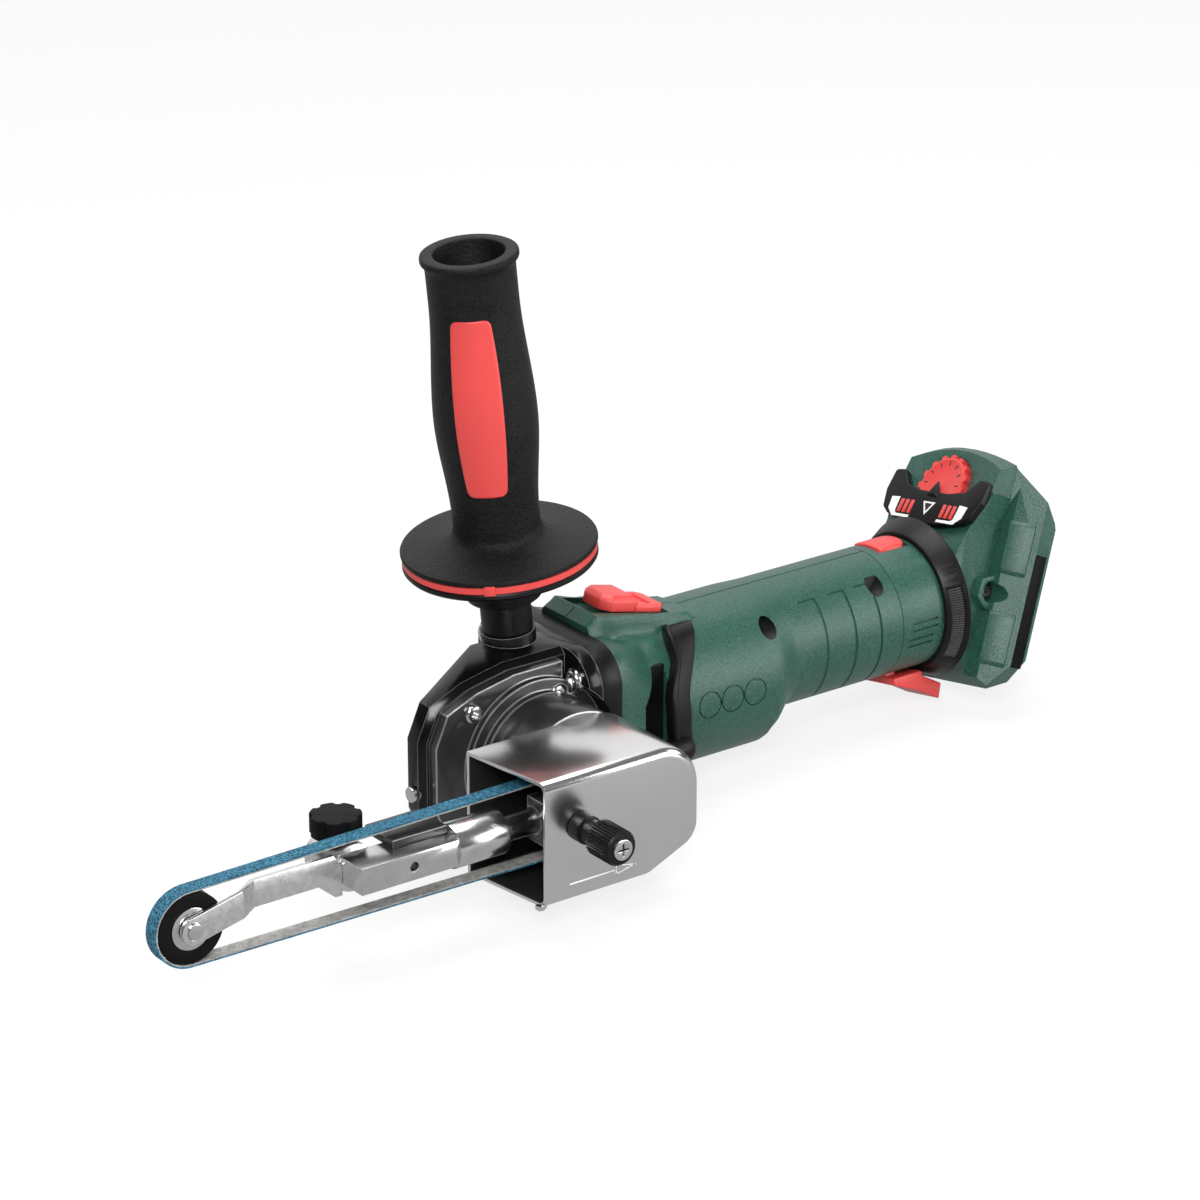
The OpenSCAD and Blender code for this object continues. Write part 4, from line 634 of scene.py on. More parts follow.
def rim_faces(rim, base):
    """Faces between the rim of a sheet and that of its twin, whose points start at base."""
    return [(a, base + a, base + b, b) for a, b in zip(rim, rim[1:] + rim[:1])]


def inlay_mesh(p):
    """A bare raised tablet that follows the grip's curve, with rounded corners."""
    low, high = FLANGE_TOP + 0.216 * GRIP_LENGTH, FLANGE_TOP + 0.82 * GRIP_LENGTH
    mid = (low + high) / 2
    corner, edge_width, sunk, height, depth = 2.6, 0.5, 0.15, 0.55, 1.2
    rows, n = 73, 19
    top, bottom = [], []
    for j in range(rows):
        v = 0.5 - 0.5 * math.cos(math.pi * j / (rows - 1))
        s = low + (high - low) * v
        lean = abs(s - mid) / (high - mid)
        half = (p.inlay_mid - (p.inlay_mid - p.inlay_end) * lean**2) / MM / 2
        near_end = min(s - low, high - s)
        if near_end < corner:
            half -= corner - math.sqrt(max(corner**2 - (corner - near_end) ** 2, 0.0))
        r = grip_radius((s - FLANGE_TOP) / GRIP_LENGTH)
        for i in range(n):
            u = -1 + 2 * i / (n - 1)
            angle = half * u / r
            edge = min(1.0, min((1 - abs(u)) * half, near_end) / edge_width)
            for side, lift in ((top, height * math.sqrt(edge) - sunk), (bottom, -depth)):
                side.append(((r + lift) * math.sin(angle), -(r + lift) * math.cos(angle), s))
    base = len(top)
    last = (rows - 1) * n
    rim = [*range(n), *range(2 * n - 1, base, n), *range(last + n - 2, last - 1, -1), *range(last - n, 0, -n)]
    faces = sheet_faces(rows, n) + sheet_faces(rows, n, base) + rim_faces(rim, base)
    return top + bottom, faces


def guard_mesh():
    """The belt guard, a sheet folded into a tray with a slanted mouth, and the numbers of its inner faces."""
    front, rear, top, far, near, sheet, fold = -50.0, 25.5, 24.5, -53.5, -95.0, 1.5, 3.6
    slant, bends = 5.5, 8

    def row(inset, y):
        lip = front + slant * (far - y) / (far - near)
        low, high, back = -top + inset, top - inset, rear - inset
        corners = [(lip, low), (back - 22, low), (back, low + 9.5), (back, high), (lip, high)]
        return [(x, y, z) for x, z in rounded(corners, [0, 9.0, 9.0, 19.0 - inset, 0], 12)]

    def skin(inset, far_y, radius):
        rows = [row(inset, far_y), row(inset, near + fold)]
        for i in range(1, bends + 1):
            a = math.pi / 2 * i / bends
            rows.append(row(inset + radius * (1 - math.cos(a)), near + fold - radius * math.sin(a)))
        return rows

    outer = skin(0.0, far, fold)
    inner = skin(sheet, far - sheet, fold - sheet)
    n, m = len(outer[0]), len(outer)
    faces = []
    for base in (0, m * n):
        faces += sheet_faces(m, n, base)
        faces += [tuple(range(base, base + n)), tuple(range(base + (m - 1) * n, base + m * n))]
    skin_faces = len(faces) // 2
    rim = [*range(0, m * n, n), *range(m * n - 1, 0, -n)]
    faces += rim_faces(rim, m * n)
    return ([p for r in outer + inner for p in r], faces), range(skin_faces, 2 * skin_faces)


def strap_mesh():
    """The air deflector's strap, bent round the barrel, with a raised rib along its front edge."""
    steps, top, span, bend, foot, rib = 40, 33.0, 52.0, 36.0, 31.6, 0.9
    rows = []
    for j in range(steps + 1):
        z = top - span * j / steps
        left = 58.0 + 17.0 * max((z - 9) / 25, 0.0) ** 1.5 + 6.0 * max((-2 - z) / 16, 0.0) ** 1.5
        right = left + 9.5
        left -= 4.5 * ease(0, 1, (z - 22) / 10) + 2.5 * ease(0, 1, (-8 - z) / 8)
        angle = math.acos(z / bend)
        end = min(1.0, min(j, steps - j) / 3.0)
        high = 33.6 + 2.6 * math.sqrt(end)
        profile = [(left, foot), (left, high), (left + 0.7, high + rib), (left + 2.1, high + rib)]
        profile += [(left + 2.9, high - 0.2), (right - 1.2, high - 0.2), (right - 0.3, high - 0.6)]
        profile += [(right, high - 1.4), (right, foot)]
        rows.append([(x, -r * math.sin(angle), r * math.cos(angle)) for x, r in profile])
    return loft(rows)


def tapered(outline, levels, middle, lean=0.0):
    """A rounded outline raised through levels of (height, share), each drawn in about the middle."""
    edge = rounded(outline, 0.8, 3)
    rings = []
    for z, k in levels:
        rings.append([(middle + (x - middle) * k + lean * (1 - k), y * k, z) for x, y in edge])
    return loft(rings)


def pad_mesh():
    """The lock button's pad, rounded off at its corners, bent to the sleeve on top and flat below."""
    middle, half_x, half_y, power, sleeve, underside = 192.45, 7.4, 9.4, 3.8, 26.5, 28.05
    levels = [(1.0, -9.0), (1.0, 0.2), (0.985, 0.55), (0.95, 0.78), (0.88, 0.9), (0.6, 0.95), (0.3, 0.95)]
    rings = []
    for share, lift in levels:
        ring = []
        for a in turns(72):
            c, s = math.cos(a), math.sin(a)
            r = share * (abs(c) ** power + abs(s) ** power) ** (-1 / power)
            y = half_y * r * s
            z = GRIP_RISE + math.sqrt(sleeve**2 - y * y) + lift
            ring.append((middle + half_x * r * c, y, max(underside, z)))
        rings.append(ring)
    return loft(rings)


def belt_path(r_pin, r_drive, pin):
    """The belt's loop in the side plane, round the pin at the front and the pulley at the origin."""
    lean = math.asin((r_drive - r_pin) / -pin)
    steps, longest = 48, 6
    path = []
    for i in range(steps + 1):
        a = math.pi / 2 + lean + (math.pi - 2 * lean) * i / steps
        path.append((pin + r_pin * math.cos(a), r_pin * math.sin(a)))
    for i in range(steps + 1):
        a = -math.pi / 2 - lean + (math.pi + 2 * lean) * i / steps
        path.append((r_drive * math.cos(a), r_drive * math.sin(a)))
    full = []
    for i, p in enumerate(path):
        q = path[(i + 1) % len(path)]
        gap = math.hypot(q[0] - p[0], q[1] - p[1])
        parts = max(1, int(gap / longest))
        full += [(p[0] + (q[0] - p[0]) * k / parts, p[1] + (q[1] - p[1]) * k / parts) for k in range(parts)]
    return full


def screw_head(radius, height, socket, depth):
    """A pan head with a six-lobed socket, standing on local z = 0."""
    dome, lobes, steps = 0.35, 6, 48
    levels = [(0.97, 0.0), (1.0, 0.25), (1.0, 1 - dome)]
    levels += [(k, 1 - dome * h) for k, h in ((0.94, 0.55), (0.82, 0.2), (0.7, 0.04))]
    outer = [(radius * k, 0.0, height * h) for k, h in levels]
    inner = [(0.86 * socket, 0.14 * socket, h) for h in (height, height - depth)]
    rings = []
    for r, wave, h in outer + inner:
        reach = [(a, r + wave * math.cos(lobes * a)) for a in turns(steps)]
        rings.append([(r * math.cos(a), r * math.sin(a), h) for a, r in reach])
    return loft(rings)


# Pieces of the foot


def foot_shell(side, out):
    """One shell of the foot with its slots, its trimmed edges and its flank pads, out being its sign of y."""
    node = f"foot_shell_{side}"
    shell = bevel(cad_copy(f"{node}_moulding", node), 1.2, 3)
    for turn, start in ((96, 185.5), (102.7, 185.5), (111, 183.5), (117.7, 183.5)):
        slot = block(start, start + 12.5, -0.45, 0.45, 25.7, 30)
        cut(shell, slot, FOOT @ turned("X", -out * turn))
    wedge = [(-17, 28.07), (-17, 43), (-4.84, 43)]
    ear = [(-45, 28.07), (-45, 50), (-16.9, 50), (-16.9, 28.07)]
    for outline, low, high in ((wedge, -6, 100), (ear, 72, 110)):
        cut(shell, prism([(x, y * out) for x, y in outline], low, high), RAIL)
    arch = [(y, 59.6 - y * y / 170) for y in range(-2, 47, 6)] + [(46, 70), (-2, 70)]
    cut(shell, prism([(y * out, z) for y, z in arch], 205, 256), FOOT_ZERO @ REAR @ turned("Z", 90))
    finish_piece(shell, "green_shell", "foot", (node,))
    inward, depth, trim, slope = (0.775, -0.632), 3.0, 1.2, 1.8
    front, rear = (-16.4, 30.4), (-9.6, 38.8)
    for count, low, high in ((1, 4.5, 27.0), (2, 41.5, 64.0)):
        rings = []
        for z, less in ((low, trim), (low + slope, 0.0), (high - slope, 0.0), (high, trim)):
            ring = ((front, depth), (front, less), (rear, less), (rear, depth))
            rings.append([(x + d * inward[0], (y + d * inward[1]) * out, z) for (x, y), d in ring])
        piece(f"flank_pad_{side}_{count}", loft(rings), RAIL, "green_shell", "foot", edge=0.5)


def foot_screw():
    """The screw on the foot's near flank, in its six-sided boss."""
    x, z = 224.94, 7
    at_boss = FOOT_ZERO @ shift(x, -24, z) @ NEAR
    hexagon = [(7.6 * math.cos(a), 7.6 * math.sin(a)) for a in turns(6)]
    boss = new_object("foot_screw_boss", prism(hexagon, -6.0, 4.4), at_boss)
    cut(boss, lathe([(4.3, -0.5), (4.3, 8.0)], 48), at_boss)
    bevel(boss, 0.6, 2)
    finish_piece(boss, "green_shell", "foot")
    head = screw_head(3.4, 1.6, 1.7, 1.2)
    screw = new_object("foot_screw_head", head, FOOT_ZERO @ shift(x, -23.6, z) @ NEAR)
    finish_piece(screw, "dark_steel", "foot", ("foot_screw",))


def indicator_panel():
    """The black panel round the dial with its pointer and its plain print."""
    half = [(11.5, 9), (14, 23), (16.5, 27), (24, 29.5), (33.5, 29), (34, 23.5), (27.5, 17.6), (26, 8)]
    outline = [(u, -v) for u, v in half] + [(u, v) for u, v in reversed(half)]
    panel = new_object("indicator_panel_moulding", prism(rounded(outline, 1.6, 4), 0.15, 3.7), FACE)
    bevel(panel, 0.7, 3, 50)
    cut(panel, lathe([(14.2, -2.0), (14.2, 2.8)], 72), FACE @ shift(DIAL_PLACE, 0, 0))
    finish_piece(panel, "black_plastic", "foot", ("indicator_panel",))
    pointer = []
    for near, far in (
        ((23.5, 3.6, 3.4), (25.5, 3.6, 3.4)),
        ((24.0, 2.8, 4.4), (30.6, 0.25, 3.9)),
        ((24.3, 2.2, 5.0), (30.4, 0.15, 4.2)),
    ):
        pointer.append([(u, side * v, w) for (u, v, w), side in zip((near, near, far, far), (-1, 1, 1, -1))])
    piece("panel_pointer", loft(pointer), FACE, "black_plastic", "foot", edge=0.3)
    sunk = 3.4  # below the panel's face
    bar = [(13.0, 8.6), (13.0, 19.0), (16.0, 22.8), (21.2, 23.6)]
    bar += [(21.6, 18.6), (15.0, 18.2), (14.2, 16.8), (14.2, 8.8)]
    prints = [prism([(u, v * out) for u, v in bar], sunk, 3.78) for out in (-1, 1)]
    prints.append(prism([(15.2, 0.0), (21.2, 3.7), (21.2, -3.7)], sunk, 3.76))
    piece("panel_print", joined(*prints), FACE, "white_print", "foot")
    field = prism([(16.8, 0.0), (20.5, 2.3), (20.5, -2.3)], sunk, 3.8)
    piece("panel_print_field", field, FACE, "dark_mark", "foot")


def dust_filter(wire_count):
    """The filter's mesh on its cone: hoops of wire, crossed by straight wires."""
    thin = 0.12

    def cone(x):
        return 28.5 + 0.5 * x

    hoops = []
    for x in (2.2, 2.8, 3.4, 4.0, 4.6, 5.2, 5.8, 6.4):
        profile = [(cone(x) - 0.75, x - thin), (cone(x) - 0.45, x), (cone(x) - 0.75, x + thin)]
        hoops.append(lathe(profile, 120, closed=True))
    at_filter = FOOT_ZERO @ shift(201, 0, GRIP_RISE) @ REAR
    rings = new_object("dust_filter_rings", joined(*hoops), at_filter)
    section = ((-thin, -thin), (-thin, thin), (thin, thin), (thin, -thin))
    strand = loft([[(cone(x) - 0.7 + a, b, x) for a, b in section] for x in (2.0, 7.0)])
    bars = ring_of("dust_filter_wires", strand, wire_count, 0.0, "mesh", at_filter)
    finish_piece(rings, "mesh", "foot", ("dust_filter_mesh",))
    finish_piece(bars, "mesh", "foot")


def speed_dial(flute_count):
    """The dial with its flutes and bare marks."""
    at_dial = FACE @ shift(DIAL_PLACE, 0, 0)
    radius = 12.2
    wheel = [(11.7, -3.9), (radius, -3.4), (radius, 1.9), (11.9, 2.4), (11.2, 2.6), (10.9, 2.45), (3.0, 2.45)]
    dial = new_object("speed_dial_wheel", lathe(wheel, 96), at_dial)
    flute = prism(rounded([(-1.0, -1.7), (1.25, -1.1), (1.25, 1.1), (-1.0, 1.7)], 0.6, 4), -3.8, 2.3)
    flutes = ring_of("speed_dial_flutes", flute, flute_count, radius, "red_plastic", at_dial)
    tick = block(-0.9, 0.9, -0.3, 0.3, 2.3, 2.52)
    ticks = ring_of("speed_dial_marks", tick, 12, 9.4, "dark_mark", at_dial)
    finish_piece(dial, "red_plastic", "dial", ("speed_dial",))
    finish_piece(flutes, "red_plastic", "dial")
    finish_piece(ticks, "dark_mark", "dial")


# Stage


def floor_material():
    """White to the camera, grey to the object, and brighter in its reflections towards the front."""
    m = bpy.data.materials.new("stage_white")
    m.use_nodes = True
    t = m.node_tree
    t.nodes.clear()
    white = (1, 1, 1, 1)
    path = add(t, "ShaderNodeLightPath")
    diffuse = add(t, "ShaderNodeBsdfDiffuse", {"Color": (0.8, 0.8, 0.8, 1)})
    glow = add(t, "ShaderNodeEmission", {"Color": white, "Strength": 1.0})
    seen = add(t, "ShaderNodeMixShader", {"Fac": 0.8, 1: (diffuse, 0), 2: (glow, 0)})
    dim = add(t, "ShaderNodeBsdfDiffuse", {"Color": (0.6, 0.6, 0.6, 1)})
    split = add(t, "ShaderNodeSeparateXYZ", {0: (add(t, "ShaderNodeTexCoord"), "Object")})
    reach = {"From Min": -0.12, "From Max": -0.42, "To Min": 0.47, "To Max": 0.68}
    fade = add(t, "ShaderNodeMapRange", {"Value": (split, "Y"), **reach})
    mirror = add(t, "ShaderNodeEmission", {"Color": white, "Strength": (fade, "Result")})
    bounce = add(t, "ShaderNodeMixShader", {"Fac": (path, "Is Glossy Ray"), 1: (dim, 0), 2: (mirror, 0)})
    choose = add(t, "ShaderNodeMixShader", {"Fac": (path, "Is Camera Ray"), 1: (bounce, 0), 2: (seen, 0)})
    add(t, "ShaderNodeOutputMaterial", {"Surface": (choose, 0)})
    return m


def stage_world():
    """White to the camera, and to the object a grey sky with one bright sheet behind it."""
    world = bpy.data.worlds.new("stage_world")
    world.use_nodes = True
    t = world.node_tree
    back = t.nodes["Background"]
    toward = (add(t, "ShaderNodeTexCoord"), "Generated")
    split = add(t, "ShaderNodeSeparateXYZ", {0: toward})
    ramp = add(t, "ShaderNodeValToRGB", {"Fac": (split, "Z")})
    for stop, position, grey in zip(ramp.color_ramp.elements, (0.02, 0.55), (0.04, 0.5)):
        stop.position = position
        stop.color = (grey, grey, grey, 1)
    behind = add(t, "ShaderNodeVectorMath", {0: toward, 1: (0.3, 0.85, 0.45)}, operation="DOT_PRODUCT")
    reach = {"From Min": 0.62, "From Max": 0.82, "To Max": 2.6}
    sheet = add(t, "ShaderNodeMapRange", {"Value": (behind, "Value"), **reach})
    parts = {"Factor": 1.0, "A": (ramp, "Color"), "B": (sheet, "Result")}
    total = add(t, "ShaderNodeMix", parts, data_type="RGBA", blend_type="ADD")
    feed(t, back, {"Color": (total, "Result"), "Strength": 0.32})
    white = add(t, "ShaderNodeBackground", {"Color": (1, 1, 1, 1), "Strength": 1.0})
    seen = {"Fac": (add(t, "ShaderNodeLightPath"), "Is Camera Ray"), 1: (back, 0), 2: (white, 0)}
    feed(t, t.nodes["World Output"], {"Surface": (add(t, "ShaderNodeMixShader", seen), 0)})
    return world


def stage_object(name, data, location, direction=None):
    """An object of the stage, with its own -z turned along a direction where one is given."""
    obj = bpy.data.objects.new(name, data)
    obj.location = location
    if direction is not None:
        obj.rotation_euler = direction.to_track_quat("-Z", "Y").to_euler()
    bpy.context.scene.collection.objects.link(obj)
    return obj


# Settings


def length_field(name, description, default):
    return bpy.props.FloatProperty(name=name, description=description, default=default, unit="LENGTH")


def angle_field(name, description, degrees):
    return bpy.props.FloatProperty(
        name=name, description=description, default=math.radians(degrees), subtype="ANGLE"
    )


def colour_field(name, description, default):
    return bpy.props.FloatVectorProperty(name=name, description=description, subtype="COLOR", default=default)


def count_field(name, description, default, least):
    return bpy.props.IntProperty(name=name, description=description, default=default, min=least)


class LookSettings(bpy.types.PropertyGroup):
    green: colour_field("Shell green", "Colour of the motor shell and the foot", (0.015, 0.064, 0.046))
    red: colour_field("Control red", "Colour of the controls and the handle's inlay", (0.66, 0.052, 0.048))


class ShellSettings(bpy.types.PropertyGroup):
    barrel_radius: length_field("Barrel radius", "Radius round the motor", 0.032)
    grip_radius: length_field("Grip radius", "Radius of the rear grip", 0.0265)
    flare_half: bpy.props.FloatProperty(
        name="Flare half width", description="Half width of the flared front, in millimetres", default=35.8
    )


class HandleSettings(bpy.types.PropertyGroup):
    inlay_mid: length_field("Inlay middle width", "Width of the inlay at its middle", 0.0196)
    inlay_end: length_field("Inlay end width", "Width of the inlay at its ends", 0.0154)


class HeadSettings(bpy.types.PropertyGroup):
    knurl_count: count_field("Knurls", "Ridges round the tracking knob", 34, 8)


class FootSettings(bpy.types.PropertyGroup):
    flute_count: count_field("Dial flutes", "Ridges round the speed dial", 15, 8)
    wire_count: count_field("Filter wires", "Wires round the dust filter", 190, 40)


class StageSettings(bpy.types.PropertyGroup):
    azimuth: angle_field("Azimuth", "Camera angle round the object", -36.5)
    elevation: angle_field("Elevation", "Camera angle above the floor", 22)
    distance: length_field("Distance", "Camera distance from its target", 1.718)
    lens: bpy.props.FloatProperty(name="Lens", description="Focal length in millimetres", default=135.0)


# Operators


class SurfacesOperator(bpy.types.Operator):
    """Make the surfaces and give every CAD node its own"""

    bl_idname = "powerfile.surfaces"
    bl_label = "Surfaces"

    def execute(self, context):
        make_materials(context.scene.file_look)
        return {"FINISHED"}


class ShellOperator(bpy.types.Operator):
    """Build the motor shell, its recesses, flange and air deflectors"""

    bl_idname = "powerfile.shell"
    bl_label = "Motor shell"

    def execute(self, context):
        p = context.scene.file_shell
        body = new_object("motor_shell_skin", loft(shell_rings(p)), BASE)
        paint(body, "green_shell", "dark_mark")
        switch_pocket = block(5.4, 43.6, -9.7, 9.7, -2.2, 9)
        cut(body, switch_pocket, HUMP)
        # The bores' walls get the dark mark surface: painted shade inside the screw holes.
        screw_bore = lathe([(3.7, 0), (3.7, 60)], 48)
        for x, z in ((114.1, 22.4), (117.5, -19.2), (171.5, 25.1)):
            cut(body, screw_bore, BASE @ shift(x, -14.5, z) @ NEAR, "dark_mark")
        vent = [(46.5, -21), (61.2, -21), (61.2, 21), (55, 21), (46.5, 10)]
        shade_plate_outline = [(46, -21.5), (61.4, -21.5), (61.4, 21.5), (54.5, 21.5), (46, 10.5)]
        # Behind each vent, a black plate: painted shade deep in the opening.
        for side, wall, floor in (("left", (24, 60), (23, 25.5)), ("right", (-60, -24), (-25.5, -23))):
            cut(body, prism(vent, *wall), BASE @ NEAR)
            piece(f"vent_floor_{side}", prism(shade_plate_outline, *floor), BASE @ NEAR, "black_plastic", "housing")
        round_mark = lathe([(5.5, -6), (5.5, 0.55), (4.95, 0.55), (4.95, -6)], 48, closed=True)
        inward = Matrix.Scale(-1, 4, (0, 0, 1))
        for x in (79, 90, 101):
            cut(body, round_mark, BASE @ shift(x, -31.4, 2) @ NEAR @ inward)
        finish_piece(body, "green_shell", "housing", ("motor_shell_left", "motor_shell_right"))
        dressed("motor_flange_plate", "motor_flange", "housing", 0.8, "black_plastic")
        roll = lathe([(2.5, 0.0), (4.2, 0.7), (5.0, 2.4), (5.0, 22.6), (4.2, 24.3), (2.5, 25.0)], 48)
        both = joined(strap_mesh(), moved(roll, shift(42.5, -34.6, -11.2) @ REAR))
        mirror = Matrix.Scale(-1, 4, (0, 1, 0))
        for side, place in (("left", BASE), ("right", BASE @ mirror)):
            node = f"air_deflector_{side}"
            piece(f"{node}_moulding", both, place, "black_plastic", "housing", (node,), edge=0.3)
        outline = [(26, -9), (39.5, -9), (42, -6.5), (42, 6.5), (39.5, 9), (26, 9)]
        rear = tapered(outline, ((0.1, 1.0), (2.2, 1.0), (2.9, 0.95)), 33)
        switch = new_object("slide_switch_button", rear, HUMP)
        thumb_hollow = rounded([(32.5, -6.5), (36.5, -6.5), (36.5, 6.5), (32.5, 6.5)], 1.2, 4)
        cut(switch, prism(thumb_hollow, 2.0, 5.0), HUMP)
        bevel(switch, 0.25, 2)
        finish_piece(switch, "red_plastic", "switch", ("slide_switch",))
        outline = [(12, -5), (15.5, -9), (28, -9), (28, 9), (15.5, 9), (12, 5)]
        front = tapered(outline, ((0.1, 1.0), (4.0, 1.0), (5.5, 0.86), (6.1, 0.78)), 20, 0.8)
        piece("slide_switch_block", front, HUMP, "red_plastic", "switch", edge=0.35)
        return {"FINISHED"}


class GearHeadOperator(bpy.types.Operator):
    """Finish the gear head: castings, rings and screws"""

    bl_idname = "powerfile.gear_head"
    bl_label = "Gear head"

    def execute(self, context):
        dressed("gear_housing_casting", "gear_housing", "housing", 0.7)
        dressed("gear_cover_casting", "gear_cover", "housing", 0.5)
        dressed("guard_collar_ring", "guard_collar", "belt_head", 0.6)
        dressed("grease_plug_head", "grease_plug", "housing", 0.3)
        tree = points_tree()
        cover_places = [(x, -25, z) for x, z in ((-28, 24), (-28, -24), (10.2, 22.8), (10.2, -22.8))]
        head_places = [(18.45, y, z) for y in (-28, 28) for z in (-27, 27)]
        for kind, head, places, turn in (
            ("cover", screw_head(3.6, 3.0, 1.7, 1.5), cover_places, (math.radians(90), 0.0, 0.0)),
            ("head", screw_head(4.6, 3.6, 2.2, 1.9), head_places, (0.0, math.radians(-90), 0.0)),
        ):
            obj = grown(f"{kind}_screw_heads", tree, places, head, {"Turn": turn}, "steel", BASE)
            finish_piece(obj, "steel", "housing", (f"{kind}_screws",))
        return {"FINISHED"}


class HandleOperator(bpy.types.Operator):
    """Build the side handle: textured grip, bare inlay, damper ring and base"""

    bl_idname = "powerfile.handle"
    bl_label = "Side handle"

    def execute(self, context):
        inlay = inlay_mesh(context.scene.file_handle)
        grip = handle_profile()
        ring = [(24.0, 32.6), (36.4, 32.6), (36.8, 33.0), (36.8, 35.0), (36.4, 35.4), (24.0, 35.4)]
        base = [(4.1, 1.65), (9.2, 1.65), (9.7, 2.1), (9.7, 15.15), (13.6, 15.15), (14.2, 15.6), (17.0, 29.4)]
        base += [(34.8, 29.4), (36.2, 29.9), (36.9, 30.8), (36.9, 32.0), (36.5, 32.5), (23.9, 32.5)]
        base += [(23.9, 35.4), (4.1, 35.4)]
        grip, ring, base = (lathe(profile, 144, closed=True) for profile in (grip, ring, base))
        rib = block(-2.2, 2.2, -37.5, -35.0, 32.3, 36.4)
        body, at_inlay = "side_handle", HANDLE @ turned("Z", -41)
        piece("handle_grip_moulding", grip, HANDLE, "grip_plastic", body, ("handle_grip",), angle=40)
        piece("handle_inlay_tablet", inlay, at_inlay, "red_plastic", body, ("handle_inlay",), angle=50)
        piece("damper_ring_moulding", ring, HANDLE, "red_plastic", body, ("damper_ring",))
        piece("handle_base_moulding", base, HANDLE, "black_plastic", body, ("handle_base",))
        piece("damper_rib", rib, at_inlay, "red_plastic", body, edge=0.6)
        return {"FINISHED"}


class BeltHeadOperator(bpy.types.Operator):
    """Build the belt guard, tracking knob, belt arm and roller"""

    bl_idname = "powerfile.belt_head"
    bl_label = "Belt head"

    def execute(self, context):
        p = context.scene.file_head
        sheet, inner = guard_mesh()
        guard = new_object("belt_guard_sheet", sheet, BASE)
        paint(guard, "bright_sheet", "dark_steel")
        # The inner faces get dark steel: painted shade inside the guard's hollow.
        for i in inner:
            guard.data.polygons[i].material_index = 1
        neck_hole = lathe([(16.0, -6.0), (16.0, 6.0)], 72)
        cut(guard, neck_hole, BASE @ shift(0, -54, 0) @ NEAR)
        bevel(guard, 0.35, 2, 50)
        finish_piece(guard, "bright_sheet", "belt_head", ("belt_guard",), angle=40)
        lip = [(-46.8, -23.4), (-42.4, -23.4), (-43.0, -25.0), (-44.4, -25.8), (-46.6, -25.5)]
        lip = prism(lip, -1.8, 1.0)
        piece("belt_guard_lip", lip, BASE @ shift(0, -92.6, 0) @ NEAR, "bright_sheet", "belt_head", edge=0.6)
        ink = (-0.3, 0.04)  # from inside the sheet to just above it
        lines = [block(-34, -13, -0.3, 0.3, *ink), block(-13.4, -12.7, -2.0, 2.0, *ink)]
        barb = [(-13.2, 2.1), (-4.0, 0.0), (-4.2, -0.35), (-13.2, 1.5)]
        lines += [prism([(x, side * y) for x, y in barb], *ink) for side in (-1, 1)]
        at_arrow = BASE @ shift(0, -95, -17.5) @ NEAR
        piece("belt_guard_arrow", joined(*lines), at_arrow, "white_print", "belt_head")
        dressed("tension_bracket_fold", "tension_bracket", "belt_head", 0.5)
        dressed("belt_arm_sheet", "belt_arm", "arm_set", 0.45)
        dressed("arm_bar_block", "arm_bar", "arm_set", 1.2, "steel", segments=3)
        dressed("tension_tube_turned", "tension_tube", "arm_set", 0.6)
        dressed("backing_plate_slab", "backing_plate", "arm_set", 0.5)
        coil = dressed("tension_spring_coil", "tension_spring", "arm_set", 0.0)
        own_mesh(coil)
        dressed("clamp_boss_turned", "clamp_boss", "arm_set", 0.7)
        dressed("clamp_knob_star", "clamp_knob", "clamp", 1.0, "rubber", segments=3)
        dressed("contact_roller_tyre", "contact_roller", "roller", 0.5)
        dressed("roller_bearing_ring", "roller_bearing", "arm_set", 0.3)
        dressed("roller_pin_head", "roller_pin", "arm_set", 0.3)
        radius = 6.4
        knob = [(5.3, -6), (5.5, -5.7), (5.5, -0.3), (4.6, 0.0), (4.6, 5.6), (6.1, 5.7), (radius, 6.1)]
        knob += [(radius, 18.6), (5.9, 19.3), (4.2, 19.6), (3.6, 19.6)]
        at_knob = BASE @ shift(-29.7, -101.35, 5) @ NEAR
        body = new_object("tracking_knob_turned", lathe(knob, 72), at_knob)
        ridge = prism([(-0.2, -0.42), (0.5, 0.0), (-0.2, 0.42)], 6.4, 18.3)  # low and high end
        ring = ring_of("tracking_knob_knurls", ridge, p.knurl_count, radius, "black_plastic", at_knob)
        finish_piece(body, "black_plastic", "tracking_set", ("tracking_knob",))
        finish_piece(ring, "black_plastic", "tracking_set")
        dressed("tracking_screw_end", "tracking_screw", "tracking_set", 0.3)
        return {"FINISHED"}


class BeltOperator(bpy.types.Operator):
    """Build the sanding belt with its grain outside and its cloth inside"""

    bl_idname = "powerfile.belt"
    bl_label = "Sanding belt"

    def execute(self, context):
        pin = -181.062  # the contact roller's axis, ahead of the spindle
        roller, pulley = 13.55, 15.45  # radii inside the loop
        cloth, thick, backing = 0.5, 1.2, 0.4  # depths from there
        near, far = -75.5, -69.5
        paths = [belt_path(roller + d, pulley + d, pin) for d in (0.0, cloth, thick)]
        section = [(path, near) for path in paths] + [(path, far) for path in reversed(paths)]
        rings = [[(x, y, z) for x, z in path] for path, y in section]
        obj = new_object("sanding_belt_loop", loft(rings, closed=True), BASE)
        paint(obj, "abrasive", "belt_backing")
        lean = (pulley - roller) / -pin
        for f in obj.data.polygons:
            c = (BASE.inverted() @ f.center.to_4d()).to_3d()
            if c.x < pin:
                depth = math.hypot(c.x - pin, c.z) - roller
            elif c.x > 0:
                depth = math.hypot(c.x, c.z) - pulley
            else:
                depth = abs(c.z) - roller - lean * (c.x - pin)
            f.material_index = 1 if depth < backing else 0
        finish_piece(obj, "abrasive", "belt_head", ("sanding_belt",))
        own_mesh(obj)
        return {"FINISHED"}


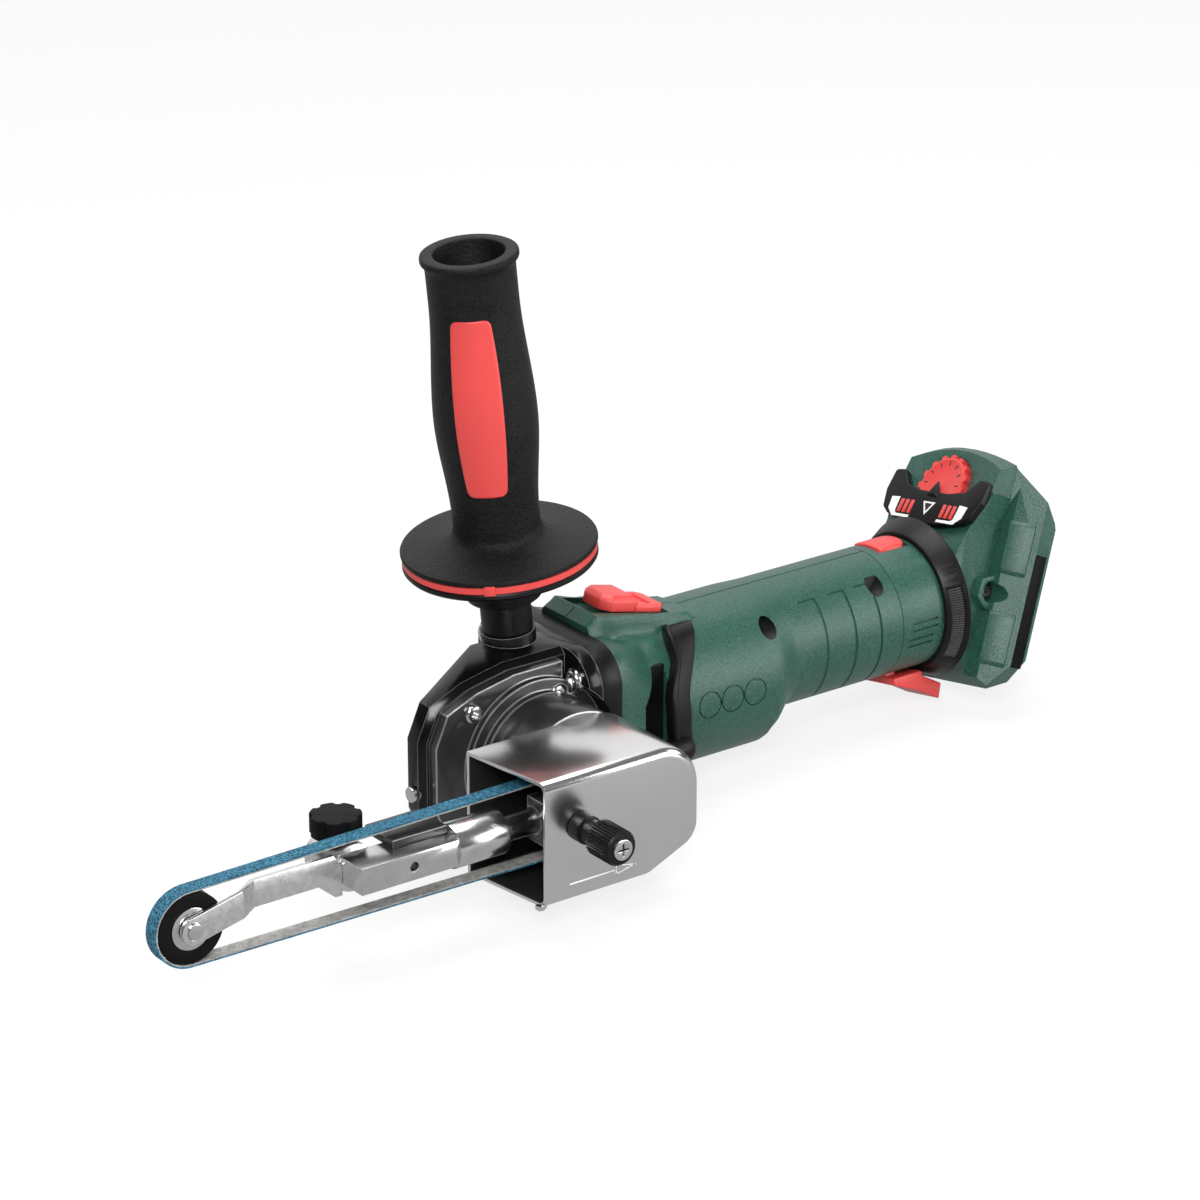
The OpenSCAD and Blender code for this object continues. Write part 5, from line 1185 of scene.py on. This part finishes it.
class FootOperator(bpy.types.Operator):
    """Build the foot: shells, dial, panel, filter, strips, button and lever"""

    bl_idname = "powerfile.foot"
    bl_label = "Foot"

    def execute(self, context):
        p = context.scene.file_foot
        for side, out in (("left", -1), ("right", 1)):
            foot_shell(side, out)
        foot_screw()
        piece("lock_button_pad", pad_mesh(), FOOT_ZERO, "red_plastic", "button", ("lock_button",), angle=50)
        dressed("lock_lever_wedge", "lock_lever", "lever", 1.6, segments=4)
        dressed("rail_strips_rubber", "rail_strips", "foot", 0.4)
        dressed("dust_filter_frame_moulding", "dust_filter_frame", "foot", 0.5)
        indicator_panel()
        dressed("indicator_lights_bars", "indicator_lights", "foot", 0.15)
        dust_filter(p.wire_count)
        speed_dial(p.flute_count)
        return {"FINISHED"}


class StageOperator(bpy.types.Operator):
    """Set the floor, the studio lights and the camera of the reference view"""

    bl_idname = "powerfile.stage"
    bl_label = "Stage"

    def execute(self, context):
        p = context.scene.file_stage
        scene = context.scene
        wide = 8
        mesh = bpy.data.meshes.new("stage_floor")
        corners = [(-wide, -wide, 0), (wide, -wide, 0), (wide, wide, 0), (-wide, wide, 0)]
        mesh.from_pydata(corners, [], [(0, 1, 2, 3)])
        mesh.materials.append(floor_material())
        stage = [stage_object("stage_floor", mesh, (0, 0, 0))]
        for name, place, target, size, power in (
            ("stage_key", (-1.0, -1.2, 1.2), (0.05, 0.0, 0.1), 0.7, 34.0),
            ("stage_top", (0.1, 0.3, 1.7), (0.0, 0.0, 0.1), 1.2, 24.0),
            ("stage_right", (1.6, -0.5, 0.8), (0.1, 0.0, 0.08), 0.6, 4.0),
            ("stage_sheen", (1.1, -1.35, 0.5), (0.08, 0.0, 0.05), 0.9, 16.0),
        ):
            light = bpy.data.lights.new(name, "AREA")
            light.size = size
            light.energy = power
            stage.append(stage_object(name, light, place, Vector(target) - Vector(place)))
        scene.world = stage_world()
        data = bpy.data.cameras.new("stage_camera")
        data.lens = p.lens
        data.sensor_width = 36
        target = Vector((0.02206, 0.03782, 0.0792))  # fitted to the photo's framing
        a, e = p.azimuth, p.elevation
        away = Vector((math.sin(a) * math.cos(e), -math.cos(a) * math.cos(e), math.sin(e)))
        scene.camera = stage_object("stage_camera", data, target + away * p.distance, -away)
        stage.append(scene.camera)
        scene.view_settings.view_transform = "Standard"
        return {"FINISHED"}


class PowerFilePanel(bpy.types.Panel):
    """The pieces of the power file, in the order they are built"""

    bl_idname = "VIEW3D_PT_power_file"
    bl_label = "Power File"
    bl_space_type = "VIEW_3D"
    bl_region_type = "UI"
    bl_category = "Power File"

    def draw(self, context):
        for operator in OPERATORS:
            self.layout.operator(operator.bl_idname)


SETTINGS = {
    "file_look": LookSettings,
    "file_shell": ShellSettings,
    "file_handle": HandleSettings,
    "file_head": HeadSettings,
    "file_foot": FootSettings,
    "file_stage": StageSettings,
}
OPERATORS = (
    SurfacesOperator,
    ShellOperator,
    GearHeadOperator,
    HandleOperator,
    BeltHeadOperator,
    BeltOperator,
    FootOperator,
    StageOperator,
)


def register():
    for cls in (*SETTINGS.values(), *OPERATORS, PowerFilePanel):
        bpy.utils.register_class(cls)
    for name, cls in SETTINGS.items():
        setattr(bpy.types.Scene, name, bpy.props.PointerProperty(type=cls))


def unregister():
    for name in SETTINGS:
        delattr(bpy.types.Scene, name)
    for cls in reversed((*SETTINGS.values(), *OPERATORS, PowerFilePanel)):
        bpy.utils.unregister_class(cls)


def main():
    register()
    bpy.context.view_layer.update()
    for operator in OPERATORS:
        name = operator.bl_idname.removeprefix("powerfile.")
        getattr(bpy.ops.powerfile, name)()


if __name__ == "__main__":
    main()
